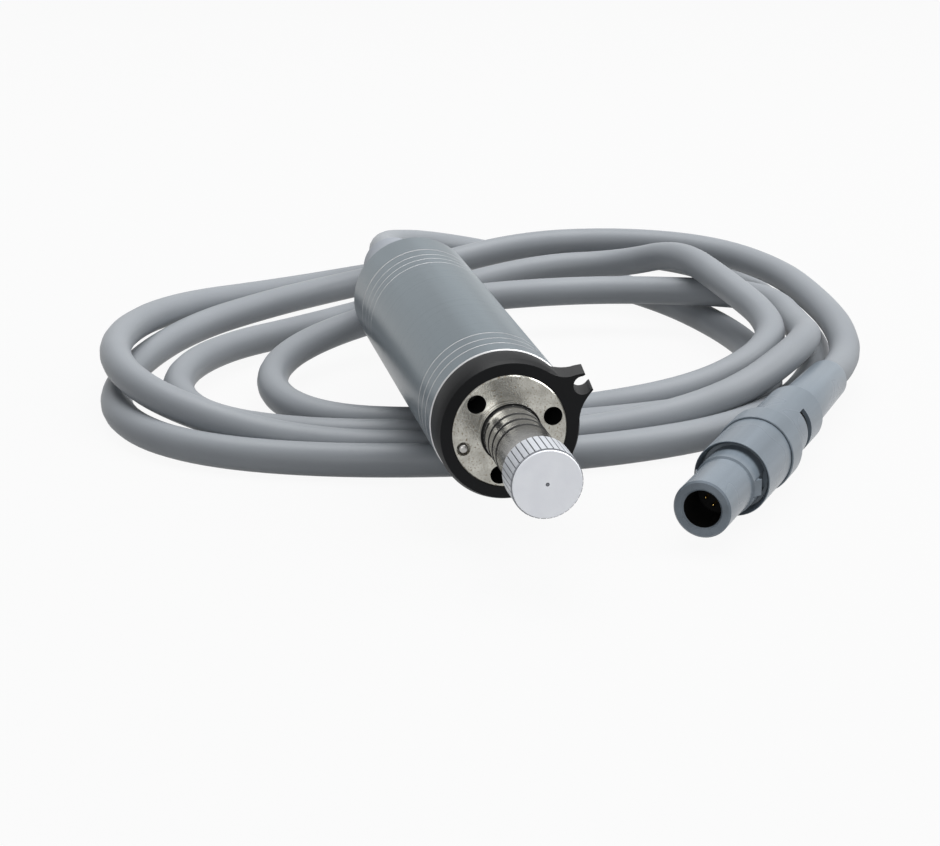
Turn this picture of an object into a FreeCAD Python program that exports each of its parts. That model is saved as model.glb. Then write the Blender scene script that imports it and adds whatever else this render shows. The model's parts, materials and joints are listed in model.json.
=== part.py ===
import FreeCAD, Part
import math
import os

# Implant micromotor with its cable and plug. Millimetres, +Z up.
# The motor axis lies along Y with the nose towards -Y; the origin is the centre of the flange face.

# Fits
SEAT_GAP = 0.02
RUN_GAP = 0.06
END_GAP = 0.1
SPRING_STEPS = 12

# Motor sleeve
SLEEVE_R = 11.5
SLEEVE_WALL = 0.8
SLEEVE_START = 5.9
SLEEVE_LENGTH = 75.0
SLEEVE_END = SLEEVE_START + SLEEVE_LENGTH
EDGE_CHAMFER = 0.35
FRONT_GROOVES = (3.7, 6.5, 9.5)
FRONT_GROOVE_SIZE = (0.5, 0.15)
REAR_GROOVES = (13.7, 16.6, 19.5)
REAR_GROOVE_SIZE = (0.3, 0.08)
BRIGHT_GROOVE = 9.9
BRIGHT_GROOVE_SIZE = (0.45, 0.15)

# Flange and coupling nose
FLANGE_R = 9.07
FLANGE_DEPTH = 12.0
FLANGE_BEVEL = 0.2
NOSE_R = 4.5
NOSE_LENGTH = 22.0
NOSE_TIP_R = 4.3
NOSE_BORE_R = 3.3
NOSE_LIP_R = 2.9
NOSE_LIP_LENGTH = 2.2
NOSE_COLLAR_R = 4.85
NOSE_COLLAR_LENGTH = 0.9
O_RING_PLACES = (-4.8, -7.4, -10.0)
O_RING_SECTION_R = 0.38
O_RING_PROUD = 0.1
O_RING_GROOVE_WIDTH = 0.9
LOCK_SPRING_PLACE = -2.2
LOCK_SPRING_WIDTH = 0.8
LOCK_SPRING_DEPTH = 0.45
LOCK_SPRING_GAP_ANGLE = 172.0
LOCK_SPRING_GAP = 2.2

# Flange screws and locating pin
SCREW_CIRCLE_R = 7.1
SCREW_ANGLES = (17.0, 138.0, 257.0)
SCREW_HEAD_R = 1.4
SCREW_HEAD_LENGTH = 1.6
SCREW_HEAD_DEPTH = 6.0
SCREW_SHANK_R = 0.8
SCREW_GRIP = 3.4
SCREW_SOCKET_R = 0.65
SCREW_SOCKET_DEPTH = 0.8
SCREW_HOLE_R = 1.5
PIN_R = 0.75
PIN_CIRCLE_R = 7.7
PIN_ANGLE = 197.5
PIN_PROUD = 0.2
PIN_DEPTH = 4.5
PIN_ROUNDING = 0.5
PIN_HOLE_R = 1.1
PIN_HOLE_DEPTH = 1.4

# Nose cap
CAP_R = 5.4
CAP_LENGTH = 6.0
CAP_HOLD = 4.0
CAP_START = CAP_HOLD - NOSE_LENGTH
CAP_BEVEL = 0.25
CAP_RIBS = 36
CAP_RIB_GROOVE_R = 0.12
CAP_MARK_R = 0.25
CAP_TRAVEL_GAP = 0.3

# Coolant clip ring with its open hook
CLIP_START = 0.17
CLIP_FRONT_R = 10.94
CLIP_MID_R = 11.4
CLIP_REAR_R = 11.35
CLIP_BEVEL = 1.1
CLIP_BEAD_DEPTH = 0.4
CLIP_BEAD_START = 2.4
CLIP_BEAD_WIDTH = 1.8
HOOK_ANGLE = 30.0
HOOK_SEAT_R = 1.5
HOOK_SEAT_CENTRE = 13.3
HOOK_OPENING = 2.6
HOOK_ROOT_R = 10.9
HOOK_LOWER_SIDE = ((-33.5, 10.9), (-26.5, 11.04), (-19.5, 11.37), (-15.0, 11.85),
                   (-11.3, 12.55), (-8.5, 13.4), (-6.2, 14.43))
HOOK_UPPER_SIDE = ((6.2, 14.59), (8.5, 13.6), (11.5, 12.35), (15.3, 11.6), (20.5, 11.12), (28.5, 10.9))
HOOK_LEAN = (0.87, -0.24)
HOOK_FULL_LEAN_R = 13.0

# Bearings
SHAFT_R = 2.0
BALL_R = 0.95
BALL_CIRCLE_R = 4.5
BALL_COUNT = 7
RACE_PLAY = 0.15
POCKET_PLAY = 0.05
INNER_RACE_R = 3.7
OUTER_RACE_R = 5.3
BEARING_R = 6.5
BEARING_WIDTH = 4.0
CAGE_HALF = 0.35
FRONT_BEARING = 16.5
CARRIER_LIP_R = 5.9
FRONT_CARRIER_LENGTH = 9.0
REAR_ROOM = 21.9
REAR_CARRIER_START = SLEEVE_END - REAR_ROOM
REAR_BEARING_INSET = 2.0
REAR_BEARING = REAR_CARRIER_START + REAR_BEARING_INSET
REAR_CARRIER_LENGTH = 8.0
PRELOAD_THICKNESS = 0.9

# Rotor
SHAFT_REACH = 6.5
DOG_FRONT = NOSE_LIP_LENGTH + CAP_TRAVEL_GAP - NOSE_LENGTH
SHAFT_FRONT = DOG_FRONT + SHAFT_REACH
SHAFT_REAR_STUB = 1.5
SHAFT_REAR = REAR_BEARING + BEARING_WIDTH + SHAFT_REAR_STUB
SHAFT_FLAT = 1.55
SHAFT_SHOULDER_R = 2.6
SHOULDER_LENGTH = 2.0
SPRING_COLLAR_R = 2.9
SPRING_COLLAR_START = -4.2
SPRING_COLLAR_LENGTH = 1.0
MAGNET_R = 5.0
MAGNET_START = 25.5
MAGNET_REAR_ROOM = 5.5
MAGNET_LENGTH = REAR_CARRIER_START - MAGNET_REAR_ROOM - MAGNET_START
BAND_WALL = 0.23
BALANCE_R = 4.7
BALANCE_WIDTH = 2.0
BALANCE_OFFSET = 0.6

# Drive dog
DOG_SPRING_LENGTH = 4.8
DOG_LENGTH = SPRING_COLLAR_START - DOG_SPRING_LENGTH - DOG_FRONT
DOG_WALL = 4.7
DOG_SLOT_WIDTH = 1.7
DOG_SLOT_DEPTH = 2.4
DOG_HOLE_R = 1.2
DOG_SPRING_TURNS = 4
DOG_SPRING_HALF_WIRE = 0.2
DOG_SPRING_R = 2.55

# Stator
STATOR_START = 27.0
STATOR_REAR_ROOM = 6.0
STATOR_LENGTH = REAR_CARRIER_START - STATOR_REAR_ROOM - STATOR_START
STATOR_BORE_R = 7.15
WINDING_BORE_R = 5.75
WINDING_OVERHANG = 4.0
WINDING_END_R = 8.8
PHASE_LEADS = 3
PHASE_LEAD_R = 0.4
PHASE_LEAD_CIRCLE_R = 8.2
LEAD_HOLE_PLAY = 0.2

# Sensor board and lead wires
BOARD_THICKNESS = 1.2
SENSOR_SIZE = (2.6, 1.0, 1.8)
SENSOR_CIRCLE_R = 5.6
WIRE_R = 0.45
WIRE_CIRCLE_R = 1.7
WIRE_COUNT = 5

# Rear cap, seal, boot and cable clamp
REAR_CAP_LENGTH = 6.9
REAR_CAP_BORE_R = 6.6
SEAL_PLACE = 3.6
SEAL_SECTION_R = 0.33
SEAL_GROOVE_WIDTH = 1.0
BOOT_FLANGE_R = 8.0
BOOT_FLANGE_LENGTH = 1.7
BOOT_CAVITY_R = 4.65
BOOT_CAVITY_LENGTH = 10.3
BOOT_OUTLINE = ((9.0, 0.1), (9.0, 1.2), (8.3, 4.5), (7.0, 12.0), (5.9, 21.0), (5.8, 24.1))
CLAMP_WALL = 1.6
CLAMP_LENGTH = 5.0
CLAMP_SLIT = 0.8

# Cable
CABLE_R = 2.9
CABLE_INSIDE = 5.9
CABLE_ENTRY = SLEEVE_END - CABLE_INSIDE
CABLE_EXIT = SLEEVE_END + BOOT_OUTLINE[-1][1]
CABLE_LEAD = 7.0
CORNER_SHARE = 0.45
CABLE_CUTS = (("cable_lead", 11), ("cable_turn_1", 23), ("cable_turn_2", 35),
              ("cable_turn_3", 47), ("cable_turn_4", 58), ("cable_tail", None))
CABLE_POINTS = [
    (0, CABLE_EXIT, 0), (0, CABLE_EXIT + CABLE_LEAD, 0), (1, 123, -1), (5.5, 139.5, -4),
    (16, 153.5, -8), (32, 156.5, -12), (48.5, 144.5, -14.7), (61.5, 122, -14.7),
    (68, 93, -14.7), (67, 71, -14.7), (60.5, 50, -14.7), (36.5, 43.5, -14.7),
    (4.5, 42, -14.7), (-23, 46, -14.7), (-42.5, 59, -14.7), (-47, 76.5, -13),
    (-37, 97, -13), (-15, 114.5, -14.7), (12, 128, -13), (36.5, 133, -9.5),
    (54, 126.5, -8), (62, 111.5, -2), (65, 91, -3.5), (68.5, 70, -6.5),
    (61, 57.5, -9), (46, 52, -13), (21.5, 49.5, -14.7), (-3.5, 48.5, -14.7),
    (-22, 55.5, -14.7), (-29.5, 69, -13.5), (-25.5, 85.5, -12), (-10.5, 100, -10.5),
    (13, 109.5, -9), (40.5, 111.5, -9), (63.5, 105.5, -9), (75.5, 92.5, -7.5),
    (75, 74.5, -9), (69.5, 54, -5), (46.5, 38.5, -12), (9.5, 35, -14.7),
    (-25, 40, -14.7), (-47.5, 52.5, -10), (-57, 70.5, -7.5), (-55.5, 93, -7.5),
    (-43, 117.5, -9.5), (-18.5, 139, -13.5), (11.5, 156, -14.7), (41, 165.5, -14.7),
    (65.5, 162.5, -14.7), (82, 143, -14.7), (83.5, 108, -14.7), (80.5, 72, -14.7),
    (56, 37, -14.7), (20, 27, -14.7), (-20, 31.5, -14.7), (-47.5, 44.5, -14.7),
    (-58.5, 66, -14.7), (-54, 90.5, -14), (-40.5, 111, -12.5), (-22.5, 126.5, -12.5),
    (-4, 138, -12.5), (15.5, 145.5, -11.5), (36.5, 148, -8), (57.5, 143.5, -7),
    (75, 130, -6.5), (83.5, 110, -7), (84, 88, -8), (81.5, 69.5, -8),
    (79.18, 59.65, -10.95), (73.28, 51.55, -10.95)]

# Plug, measured along its axis from the front edge of the barrel
PLUG_NOSE = (27.7, -11.0, -10.95)
PLUG_TURN = -36.08
BARREL_R = 4.65
BARREL_BORE_R = 3.03
BARREL_BORE_LENGTH = 5.4
BARREL_POCKET_R = 3.25
BARREL_STEP = 11.1
BARREL_STEP_R = 5.0
BARREL_FLANGE_R = 5.95
BARREL_FLANGE_START = 30.6
BARREL_FLANGE_LENGTH = 2.0
BARREL_CHAMFER = 0.3
LATCH_SLOT_FLOOR = 4.1
LATCH_SLOT_WIDTH = 2.9
LATCH_SLOT_START = 11.4
LATCH_ARM_THICKNESS = 0.5
LATCH_TAB_HEIGHT = 5.5
LATCH_TAB_LENGTH = 1.9
LATCH_RING_START = 17.0
LATCH_RING_LENGTH = 3.3
LATCH_RING_WALL = 0.6
RELEASE_START = 15.1
RELEASE_R = 6.3
RELEASE_BORE_R = 5.7
RELEASE_RIM = 0.9
RELEASE_SHOULDER = 20.8
RELEASE_SHOULDER_LENGTH = 0.6
RELEASE_END = 28.0
SLEEVE_SPRING_R = 5.42
SLEEVE_SPRING_HALF_WIRE = 0.2
SLEEVE_SPRING_TURNS = 5
REAR_BODY_START = 27.5
REAR_BODY_R = 6.65
REAR_BODY_END = 33.2
REAR_BODY_EDGE = 0.3
SPIGOT_R = 4.4
SPIGOT_LENGTH = 8.8
SPIGOT_BORE_R = 3.4
NUT_R = 5.35
NUT_END = 50.8
NUT_EDGE = 0.5
NUT_SLOT = (40.9, 2.3)
NUT_SLOT_DEPTH = 0.7
NUT_SLOT_ANGLES = (-40.0, 46.0)
COLLET_START = 36.0
COLLET_LENGTH = 5.6
COLLET_SLITS = 3
COLLET_SLIT = 0.6
RELIEF_R = 4.35
RELIEF_END_R = 3.8
RELIEF_EDGE = 0.4
RELIEF_ROOT = 42.4
RELIEF_END = 73.0
PLUG_LENGTH = 77.4
PLUG_CABLE_START = 40.0
INSULATOR_START = 8.0
INSULATOR_END = 27.0
CONTACT_R = 0.25
CONTACT_CIRCLE_R = 1.65
CONTACT_COUNT = 6
CONTACT_FIRST_ANGLE = 20.0
CONTACT_START = 6.6
CONTACT_END = 30.0

ORIGIN = FreeCAD.Vector(0, 0, 0)
AXIS_Y = FreeCAD.Vector(0, 1, 0)
AXIS_Z = FreeCAD.Vector(0, 0, 1)

SLEEVE_BORE_R = SLEEVE_R - SLEEVE_WALL
INSIDE_R = SLEEVE_BORE_R - SEAT_GAP
REAR_CARRIER_END = REAR_CARRIER_START + REAR_CARRIER_LENGTH
BOARD_REAR = REAR_CARRIER_END + BOARD_THICKNESS
REAR_CAP_START = SLEEVE_END - REAR_CAP_LENGTH
BAND_R = MAGNET_R + SEAT_GAP + BAND_WALL
CABLE_SEAT_R = CABLE_R + SEAT_GAP


def turned(corners):
    """Solid turned about the Y axis from (radius, y) corners."""
    points = [FreeCAD.Vector(r, y, 0) for r, y in corners]
    face = Part.Face(Part.makePolygon(points + points[:1]))
    solid = face.revolve(ORIGIN, AXIS_Y, 360)
    if solid.Volume < 0:
        solid.reverse()
    return solid


def rod(radius, start, end, x=0.0, z=0.0):
    """Plain round rod along Y."""
    return Part.makeCylinder(radius, end - start, FreeCAD.Vector(x, start, z), AXIS_Y)


def ring(outer, inner, start, end):
    """Plain ring about the Y axis."""
    return turned([(inner, start), (outer, start), (outer, end), (inner, end)])


def block(x0, x1, y0, y1, z0, z1):
    """Rectangular block between two corners."""
    return Part.makeBox(x1 - x0, y1 - y0, z1 - z0, FreeCAD.Vector(x0, y0, z0))


def around(radius, angle):
    """X and Z of a point on a circle about the Y axis, from +X towards +Z."""
    turn = math.radians(angle)
    return radius * math.cos(turn), radius * math.sin(turn)


def rolled(shape, angle):
    """Copy of a shape turned about the Y axis, from +X towards +Z."""
    copy = shape.copy()
    copy.rotate(ORIGIN, AXIS_Y, -angle)
    return copy


def even_angles(count):
    """Equal steps round a full circle."""
    whole = int(round(count))
    return [360.0 * i / whole for i in range(whole)]


def torus(ring_radius, section_radius, place):
    """Round-section ring about the Y axis."""
    return Part.makeTorus(ring_radius, section_radius, FreeCAD.Vector(0, place, 0), AXIS_Y)


def coil(radius, half_wire, start, end, turns):
    """Compression spring of square wire between two planes along the Y axis."""
    steps = int(round(turns * SPRING_STEPS))
    climb = end - start - 2 * half_wire
    sections = []
    for i in range(steps + 1):
        angle = 360.0 * i / SPRING_STEPS
        middle = start + half_wire + climb * i / steps
        corners = []
        for out, up in ((-1, -1), (1, -1), (1, 1), (-1, 1), (-1, -1)):
            x, z = around(radius + out * half_wire, angle)
            corners.append(FreeCAD.Vector(x, middle + up * half_wire, z))
        sections.append(Part.makePolygon(corners))
    spring = Part.makeLoft(sections, True, True)
    if spring.Volume < 0:
        spring.reverse()
    return spring


def grooved_side(radius, start, end, grooves):
    """Outer corners of a turned part with square grooves (place, width, depth)."""
    side = [(radius - EDGE_CHAMFER, start), (radius, start + EDGE_CHAMFER)]
    for place, width, depth in sorted(grooves):
        front = place - width / 2
        rear = place + width / 2
        side += [(radius, front), (radius - depth, front), (radius - depth, rear), (radius, rear)]
    return side + [(radius, end - EDGE_CHAMFER), (radius - EDGE_CHAMFER, end)]


# Motor housing

def motor_sleeve():
    grooves = [(SLEEVE_START + y,) + FRONT_GROOVE_SIZE for y in FRONT_GROOVES]
    grooves += [(SLEEVE_END - y,) + REAR_GROOVE_SIZE for y in REAR_GROOVES]
    grooves.append((SLEEVE_END - BRIGHT_GROOVE,) + BRIGHT_GROOVE_SIZE)
    side = grooved_side(SLEEVE_R, SLEEVE_START, SLEEVE_END, grooves)
    return turned([(SLEEVE_BORE_R, SLEEVE_START)] + side + [(SLEEVE_BORE_R, SLEEVE_END)])


def nose_flange():
    groove_r = NOSE_R + O_RING_PROUD - 2 * O_RING_SECTION_R - SEAT_GAP
    spring_r = NOSE_R - LOCK_SPRING_DEPTH - SEAT_GAP
    half_spring = LOCK_SPRING_WIDTH / 2 + SEAT_GAP
    cuts = [(y, O_RING_GROOVE_WIDTH / 2, groove_r) for y in O_RING_PLACES]
    cuts.append((LOCK_SPRING_PLACE, half_spring, spring_r))
    step = CAP_START + END_GAP
    side = [(NOSE_TIP_R - FLANGE_BEVEL, -NOSE_LENGTH), (NOSE_TIP_R, -NOSE_LENGTH + FLANGE_BEVEL),
            (NOSE_TIP_R, step), (NOSE_R, step)]
    for place, half, floor in sorted(cuts):
        side += [(NOSE_R, place - half), (floor, place - half), (floor, place + half), (NOSE_R, place + half)]
    side += [(NOSE_R, -NOSE_COLLAR_LENGTH), (NOSE_COLLAR_R, -NOSE_COLLAR_LENGTH), (NOSE_COLLAR_R, 0)]
    bead_floor = FLANGE_R - CLIP_BEAD_DEPTH - RUN_GAP
    bead_end = CLIP_BEAD_START + CLIP_BEAD_WIDTH
    side += [(FLANGE_R - FLANGE_BEVEL, 0), (FLANGE_R, FLANGE_BEVEL), (FLANGE_R, CLIP_BEAD_START),
             (bead_floor, CLIP_BEAD_START), (bead_floor, bead_end), (FLANGE_R, bead_end)]
    side += [(FLANGE_R, SLEEVE_START), (INSIDE_R, SLEEVE_START), (INSIDE_R, FLANGE_DEPTH)]
    lip_end = NOSE_LIP_LENGTH - NOSE_LENGTH
    bore = [(NOSE_BORE_R, FLANGE_DEPTH), (NOSE_BORE_R, lip_end),
            (NOSE_LIP_R, lip_end), (NOSE_LIP_R, -NOSE_LENGTH)]
    body = turned(side + bore)
    for angle in SCREW_ANGLES:
        x, z = around(SCREW_CIRCLE_R, angle)
        seat = SCREW_HEAD_DEPTH + SCREW_HEAD_LENGTH
        body = body.cut(rod(SCREW_HOLE_R, -END_GAP, seat, x, z))
        body = body.cut(rod(SCREW_SHANK_R + SEAT_GAP, seat - END_GAP, FLANGE_DEPTH + END_GAP, x, z))
    x, z = around(PIN_CIRCLE_R, PIN_ANGLE)
    body = body.cut(rod(PIN_HOLE_R, -END_GAP, PIN_HOLE_DEPTH, x, z))
    return body.cut(rod(PIN_R + SEAT_GAP, -END_GAP, PIN_DEPTH + SEAT_GAP, x, z))


def flange_screws():
    screws = []
    for angle in SCREW_ANGLES:
        x, z = around(SCREW_CIRCLE_R, angle)
        seat = SCREW_HEAD_DEPTH + SCREW_HEAD_LENGTH
        screw = rod(SCREW_HEAD_R, SCREW_HEAD_DEPTH, seat, x, z)
        screw = screw.fuse(rod(SCREW_SHANK_R, seat - END_GAP, FLANGE_DEPTH + SCREW_GRIP, x, z))
        corners = []
        for turn in even_angles(6) + [0.0]:
            dx, dz = around(SCREW_SOCKET_R, turn)
            corners.append(FreeCAD.Vector(x + dx, SCREW_HEAD_DEPTH - END_GAP, z + dz))
        socket = Part.Face(Part.makePolygon(corners)).extrude(AXIS_Y * (SCREW_SOCKET_DEPTH + END_GAP))
        screws.append(screw.cut(socket).removeSplitter())
    return Part.makeCompound(screws)


def locating_pin():
    x, z = around(PIN_CIRCLE_R, PIN_ANGLE)
    pin = rod(PIN_R, -PIN_PROUD, PIN_DEPTH, x, z)
    front = [edge for edge in pin.Edges if abs(edge.BoundBox.YMax + PIN_PROUD) < SEAT_GAP]
    return pin.makeFillet(PIN_ROUNDING, front)


def nose_o_rings():
    middle = NOSE_R + O_RING_PROUD - O_RING_SECTION_R
    return Part.makeCompound([torus(middle, O_RING_SECTION_R, y) for y in O_RING_PLACES])


def nose_lock_spring():
    front = LOCK_SPRING_PLACE - LOCK_SPRING_WIDTH / 2
    rear = LOCK_SPRING_PLACE + LOCK_SPRING_WIDTH / 2
    band = ring(NOSE_R + SEAT_GAP, NOSE_R - LOCK_SPRING_DEPTH, front, rear)
    gap = block(0, 2 * NOSE_R, front - END_GAP, rear + END_GAP, -LOCK_SPRING_GAP / 2, LOCK_SPRING_GAP / 2)
    return band.cut(rolled(gap, LOCK_SPRING_GAP_ANGLE))


def nose_cap():
    front = CAP_START - CAP_LENGTH
    bore_end = -NOSE_LENGTH - CAP_TRAVEL_GAP
    bore_r = NOSE_TIP_R + RUN_GAP
    cap = turned([(0, front), (CAP_R - CAP_BEVEL, front), (CAP_R, front + CAP_BEVEL),
                  (CAP_R, CAP_START), (bore_r, CAP_START), (bore_r, bore_end), (0, bore_end)])
    for angle in even_angles(CAP_RIBS):
        x, z = around(CAP_R, angle)
        cap = cap.cut(rod(CAP_RIB_GROOVE_R, front - END_GAP, CAP_START + END_GAP, x, z))
    return cap.cut(Part.makeSphere(CAP_MARK_R, FreeCAD.Vector(0, front, 0)))


def hook_wire(place, lean):
    """Outline of the hook in the plane y = place; the outer part is moved by a share of the lean."""
    rows = []
    for side in (HOOK_LOWER_SIDE, HOOK_UPPER_SIDE):
        row = []
        for step, r in side:
            x, z = around(r, HOOK_ANGLE + step)
            share = lean * min(1.0, (r - HOOK_ROOT_R) / (HOOK_FULL_LEAN_R - HOOK_ROOT_R))
            row.append(FreeCAD.Vector(x + HOOK_LEAN[0] * share, place, z + HOOK_LEAN[1] * share))
        rows.append(row)
    edges = []
    for row in rows:
        curve = Part.BSplineCurve()
        curve.interpolate(row)
        edges.append(curve.toShape())
    x, z = around((FLANGE_R + RUN_GAP + CLIP_FRONT_R) / 2, HOOK_ANGLE)
    middle = FreeCAD.Vector(x, place, z)
    bridge = Part.makeLine(rows[0][-1], rows[1][0])
    base = [Part.makeLine(rows[1][-1], middle), Part.makeLine(middle, rows[0][0])]
    return Part.Wire([edges[0], bridge, edges[1]] + base)


def hook_cut(wire, front, rear):
    """Cut that runs through the hook along its lean; the wire lies in the plane y = front."""
    run = FreeCAD.Vector(HOOK_LEAN[0], rear - front, HOOK_LEAN[1])
    over = run * (END_GAP / (rear - front))
    cut = Part.Face(wire).extrude(run + over * 2)
    cut.translate(over * -1)
    return cut


def clip_ring():
    """Ring that carries the coolant tube; the hook on its rim is an open seat with two horns."""
    rear = SLEEVE_START - END_GAP
    bore = FLANGE_R + RUN_GAP
    bead_r = bore - CLIP_BEAD_DEPTH
    bead_front = CLIP_BEAD_START + END_GAP
    bead_rear = CLIP_BEAD_START + CLIP_BEAD_WIDTH - END_GAP
    body = turned([(bore, CLIP_START), (CLIP_FRONT_R, CLIP_START), (CLIP_MID_R, CLIP_START + CLIP_BEVEL),
                   (CLIP_REAR_R, rear), (bore, rear), (bore, bead_rear), (bead_r, bead_rear),
                   (bead_r, bead_front), (bore, bead_front)])
    hook = Part.makeLoft([hook_wire(CLIP_START, 0.0), hook_wire(rear, 1.0)], True, True)
    if hook.Volume < 0:
        hook.reverse()
    x, z = around(HOOK_SEAT_CENTRE, HOOK_ANGLE)
    circle = Part.Wire(Part.makeCircle(HOOK_SEAT_R, FreeCAD.Vector(x, CLIP_START, z), AXIS_Y))
    corners = []
    for out, side in ((0, -1), (1, -1), (1, 1), (0, 1), (0, -1)):
        x, z = HOOK_SEAT_CENTRE + 2 * out * HOOK_OPENING, side * HOOK_OPENING / 2
        corners.append(FreeCAD.Vector(x, CLIP_START, z))
    mouth = rolled(Part.makePolygon(corners), HOOK_ANGLE)
    body = body.fuse(hook)
    for wire in (circle, mouth):
        body = body.cut(hook_cut(wire, CLIP_START, rear))
    return body.removeSplitter()


# Bearings and their carriers

def front_bearing_carrier():
    seat_r = BEARING_R + SEAT_GAP
    end = FLANGE_DEPTH + FRONT_CARRIER_LENGTH
    body = turned([(CARRIER_LIP_R, FLANGE_DEPTH), (INSIDE_R, FLANGE_DEPTH), (INSIDE_R, end), (seat_r, end),
                   (seat_r, FRONT_BEARING), (CARRIER_LIP_R, FRONT_BEARING)])
    for angle in SCREW_ANGLES:
        x, z = around(SCREW_CIRCLE_R, angle)
        body = body.cut(rod(SCREW_SHANK_R + SEAT_GAP, FLANGE_DEPTH - END_GAP,
                            FLANGE_DEPTH + SCREW_GRIP + END_GAP, x, z))
    return body


def rear_bearing_carrier():
    seat_r = BEARING_R + SEAT_GAP
    lip = REAR_BEARING + BEARING_WIDTH + PRELOAD_THICKNESS
    body = turned([(seat_r, REAR_CARRIER_START), (INSIDE_R, REAR_CARRIER_START), (INSIDE_R, REAR_CARRIER_END),
                   (CARRIER_LIP_R, REAR_CARRIER_END), (CARRIER_LIP_R, lip), (seat_r, lip)])
    for angle in even_angles(PHASE_LEADS):
        x, z = around(PHASE_LEAD_CIRCLE_R, angle)
        body = body.cut(rod(PHASE_LEAD_R + LEAD_HOLE_PLAY, REAR_CARRIER_START - END_GAP,
                            REAR_CARRIER_END + END_GAP, x, z))
    return body


def bearing_track(start):
    return torus(BALL_CIRCLE_R, BALL_R + RACE_PLAY, start + BEARING_WIDTH / 2)


def outer_race(start):
    return ring(BEARING_R, OUTER_RACE_R, start, start + BEARING_WIDTH).cut(bearing_track(start))


def inner_race(start):
    bore = SHAFT_R + SEAT_GAP
    return ring(INNER_RACE_R, bore, start, start + BEARING_WIDTH).cut(bearing_track(start))


def balls(start):
    spheres = []
    for angle in even_angles(BALL_COUNT):
        x, z = around(BALL_CIRCLE_R, angle)
        spheres.append(Part.makeSphere(BALL_R, FreeCAD.Vector(x, start + BEARING_WIDTH / 2, z)))
    return Part.makeCompound(spheres)


def cage(start):
    middle = start + BEARING_WIDTH / 2
    half = BALL_R + CAGE_HALF
    band = ring(BALL_CIRCLE_R + CAGE_HALF, BALL_CIRCLE_R - CAGE_HALF, middle - half, middle + half)
    for angle in even_angles(BALL_COUNT):
        x, z = around(1.0, angle)
        pocket = Part.makeCylinder(BALL_R + POCKET_PLAY, BEARING_R, FreeCAD.Vector(0, middle, 0),
                                   FreeCAD.Vector(x, 0, z))
        band = band.cut(pocket)
    return band


def preload_spring():
    start = REAR_BEARING + BEARING_WIDTH
    leaf = PRELOAD_THICKNESS / 3
    outer = BEARING_R - RUN_GAP
    inner = OUTER_RACE_R + RUN_GAP
    return turned([(inner, start), (inner + leaf, start), (outer, start + 2 * leaf),
                   (outer, start + 3 * leaf), (outer - leaf, start + 3 * leaf), (inner, start + leaf)])


# Rotor and drive dog

def rotor_shaft():
    shaft = rod(SHAFT_R, SHAFT_FRONT, SHAFT_REAR)
    front_end = FRONT_BEARING + BEARING_WIDTH
    shaft = shaft.fuse(rod(SHAFT_SHOULDER_R, front_end, front_end + SHOULDER_LENGTH))
    shaft = shaft.fuse(rod(SHAFT_SHOULDER_R, REAR_BEARING - SHOULDER_LENGTH, REAR_BEARING))
    collar_end = SPRING_COLLAR_START + SPRING_COLLAR_LENGTH
    shaft = shaft.fuse(rod(SPRING_COLLAR_R, SPRING_COLLAR_START, collar_end))
    for side in (-1, 1):
        near, far = sorted((side * SHAFT_FLAT, side * 2 * SHAFT_R))
        shaft = shaft.cut(block(near, far, SHAFT_FRONT - END_GAP, SPRING_COLLAR_START, -SHAFT_R, SHAFT_R))
    return shaft.removeSplitter()


def rotor_magnet():
    return ring(MAGNET_R, SHAFT_R + SEAT_GAP, MAGNET_START, MAGNET_START + MAGNET_LENGTH)


def magnet_band():
    return ring(BAND_R, MAGNET_R + SEAT_GAP, MAGNET_START, MAGNET_START + MAGNET_LENGTH)


def balance_rings():
    rings = []
    magnet_end = MAGNET_START + MAGNET_LENGTH
    for start in (MAGNET_START - BALANCE_OFFSET - BALANCE_WIDTH, magnet_end + BALANCE_OFFSET):
        disc = ring(BALANCE_R, SHAFT_R + SEAT_GAP, start, start + BALANCE_WIDTH)
        x, z = around(BALANCE_R, 2 * HOOK_ANGLE)
        rings.append(disc.cut(rod(BALANCE_OFFSET, start - END_GAP, start + BALANCE_WIDTH + END_GAP, x, z)))
    return Part.makeCompound(rings)


def drive_dog():
    outer = NOSE_BORE_R - RUN_GAP
    rear = DOG_FRONT + DOG_LENGTH
    body = rod(outer, DOG_FRONT, rear)
    body = body.cut(rod(DOG_HOLE_R, DOG_FRONT - END_GAP, rear))
    bore_r = SHAFT_R + RUN_GAP
    half_flat = SHAFT_FLAT + RUN_GAP
    key_bore = rod(bore_r, DOG_FRONT + DOG_WALL, rear + END_GAP)
    key_bore = key_bore.common(block(-half_flat, half_flat, DOG_FRONT, rear + END_GAP, -bore_r, bore_r))
    slot = block(-DOG_SLOT_WIDTH / 2, DOG_SLOT_WIDTH / 2, DOG_FRONT - END_GAP, DOG_FRONT + DOG_SLOT_DEPTH,
                 -NOSE_BORE_R, NOSE_BORE_R)
    return body.cut(key_bore).cut(slot)


def dog_spring():
    start = DOG_FRONT + DOG_LENGTH
    return coil(DOG_SPRING_R, DOG_SPRING_HALF_WIRE, start, SPRING_COLLAR_START, DOG_SPRING_TURNS)


# Stator and electrics

def stator_core():
    return ring(INSIDE_R, STATOR_BORE_R, STATOR_START, STATOR_START + STATOR_LENGTH)


def winding():
    outer = STATOR_BORE_R - SEAT_GAP
    core_end = STATOR_START + STATOR_LENGTH
    front = STATOR_START - WINDING_OVERHANG
    rear = core_end + WINDING_OVERHANG
    edge = EDGE_CHAMFER
    return turned([(WINDING_BORE_R, front), (WINDING_END_R - edge, front), (WINDING_END_R, front + edge),
                   (WINDING_END_R, STATOR_START - edge), (outer, STATOR_START - edge),
                   (outer, core_end + edge), (WINDING_END_R, core_end + edge), (WINDING_END_R, rear - edge),
                   (WINDING_END_R - edge, rear), (WINDING_BORE_R, rear)])


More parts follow.
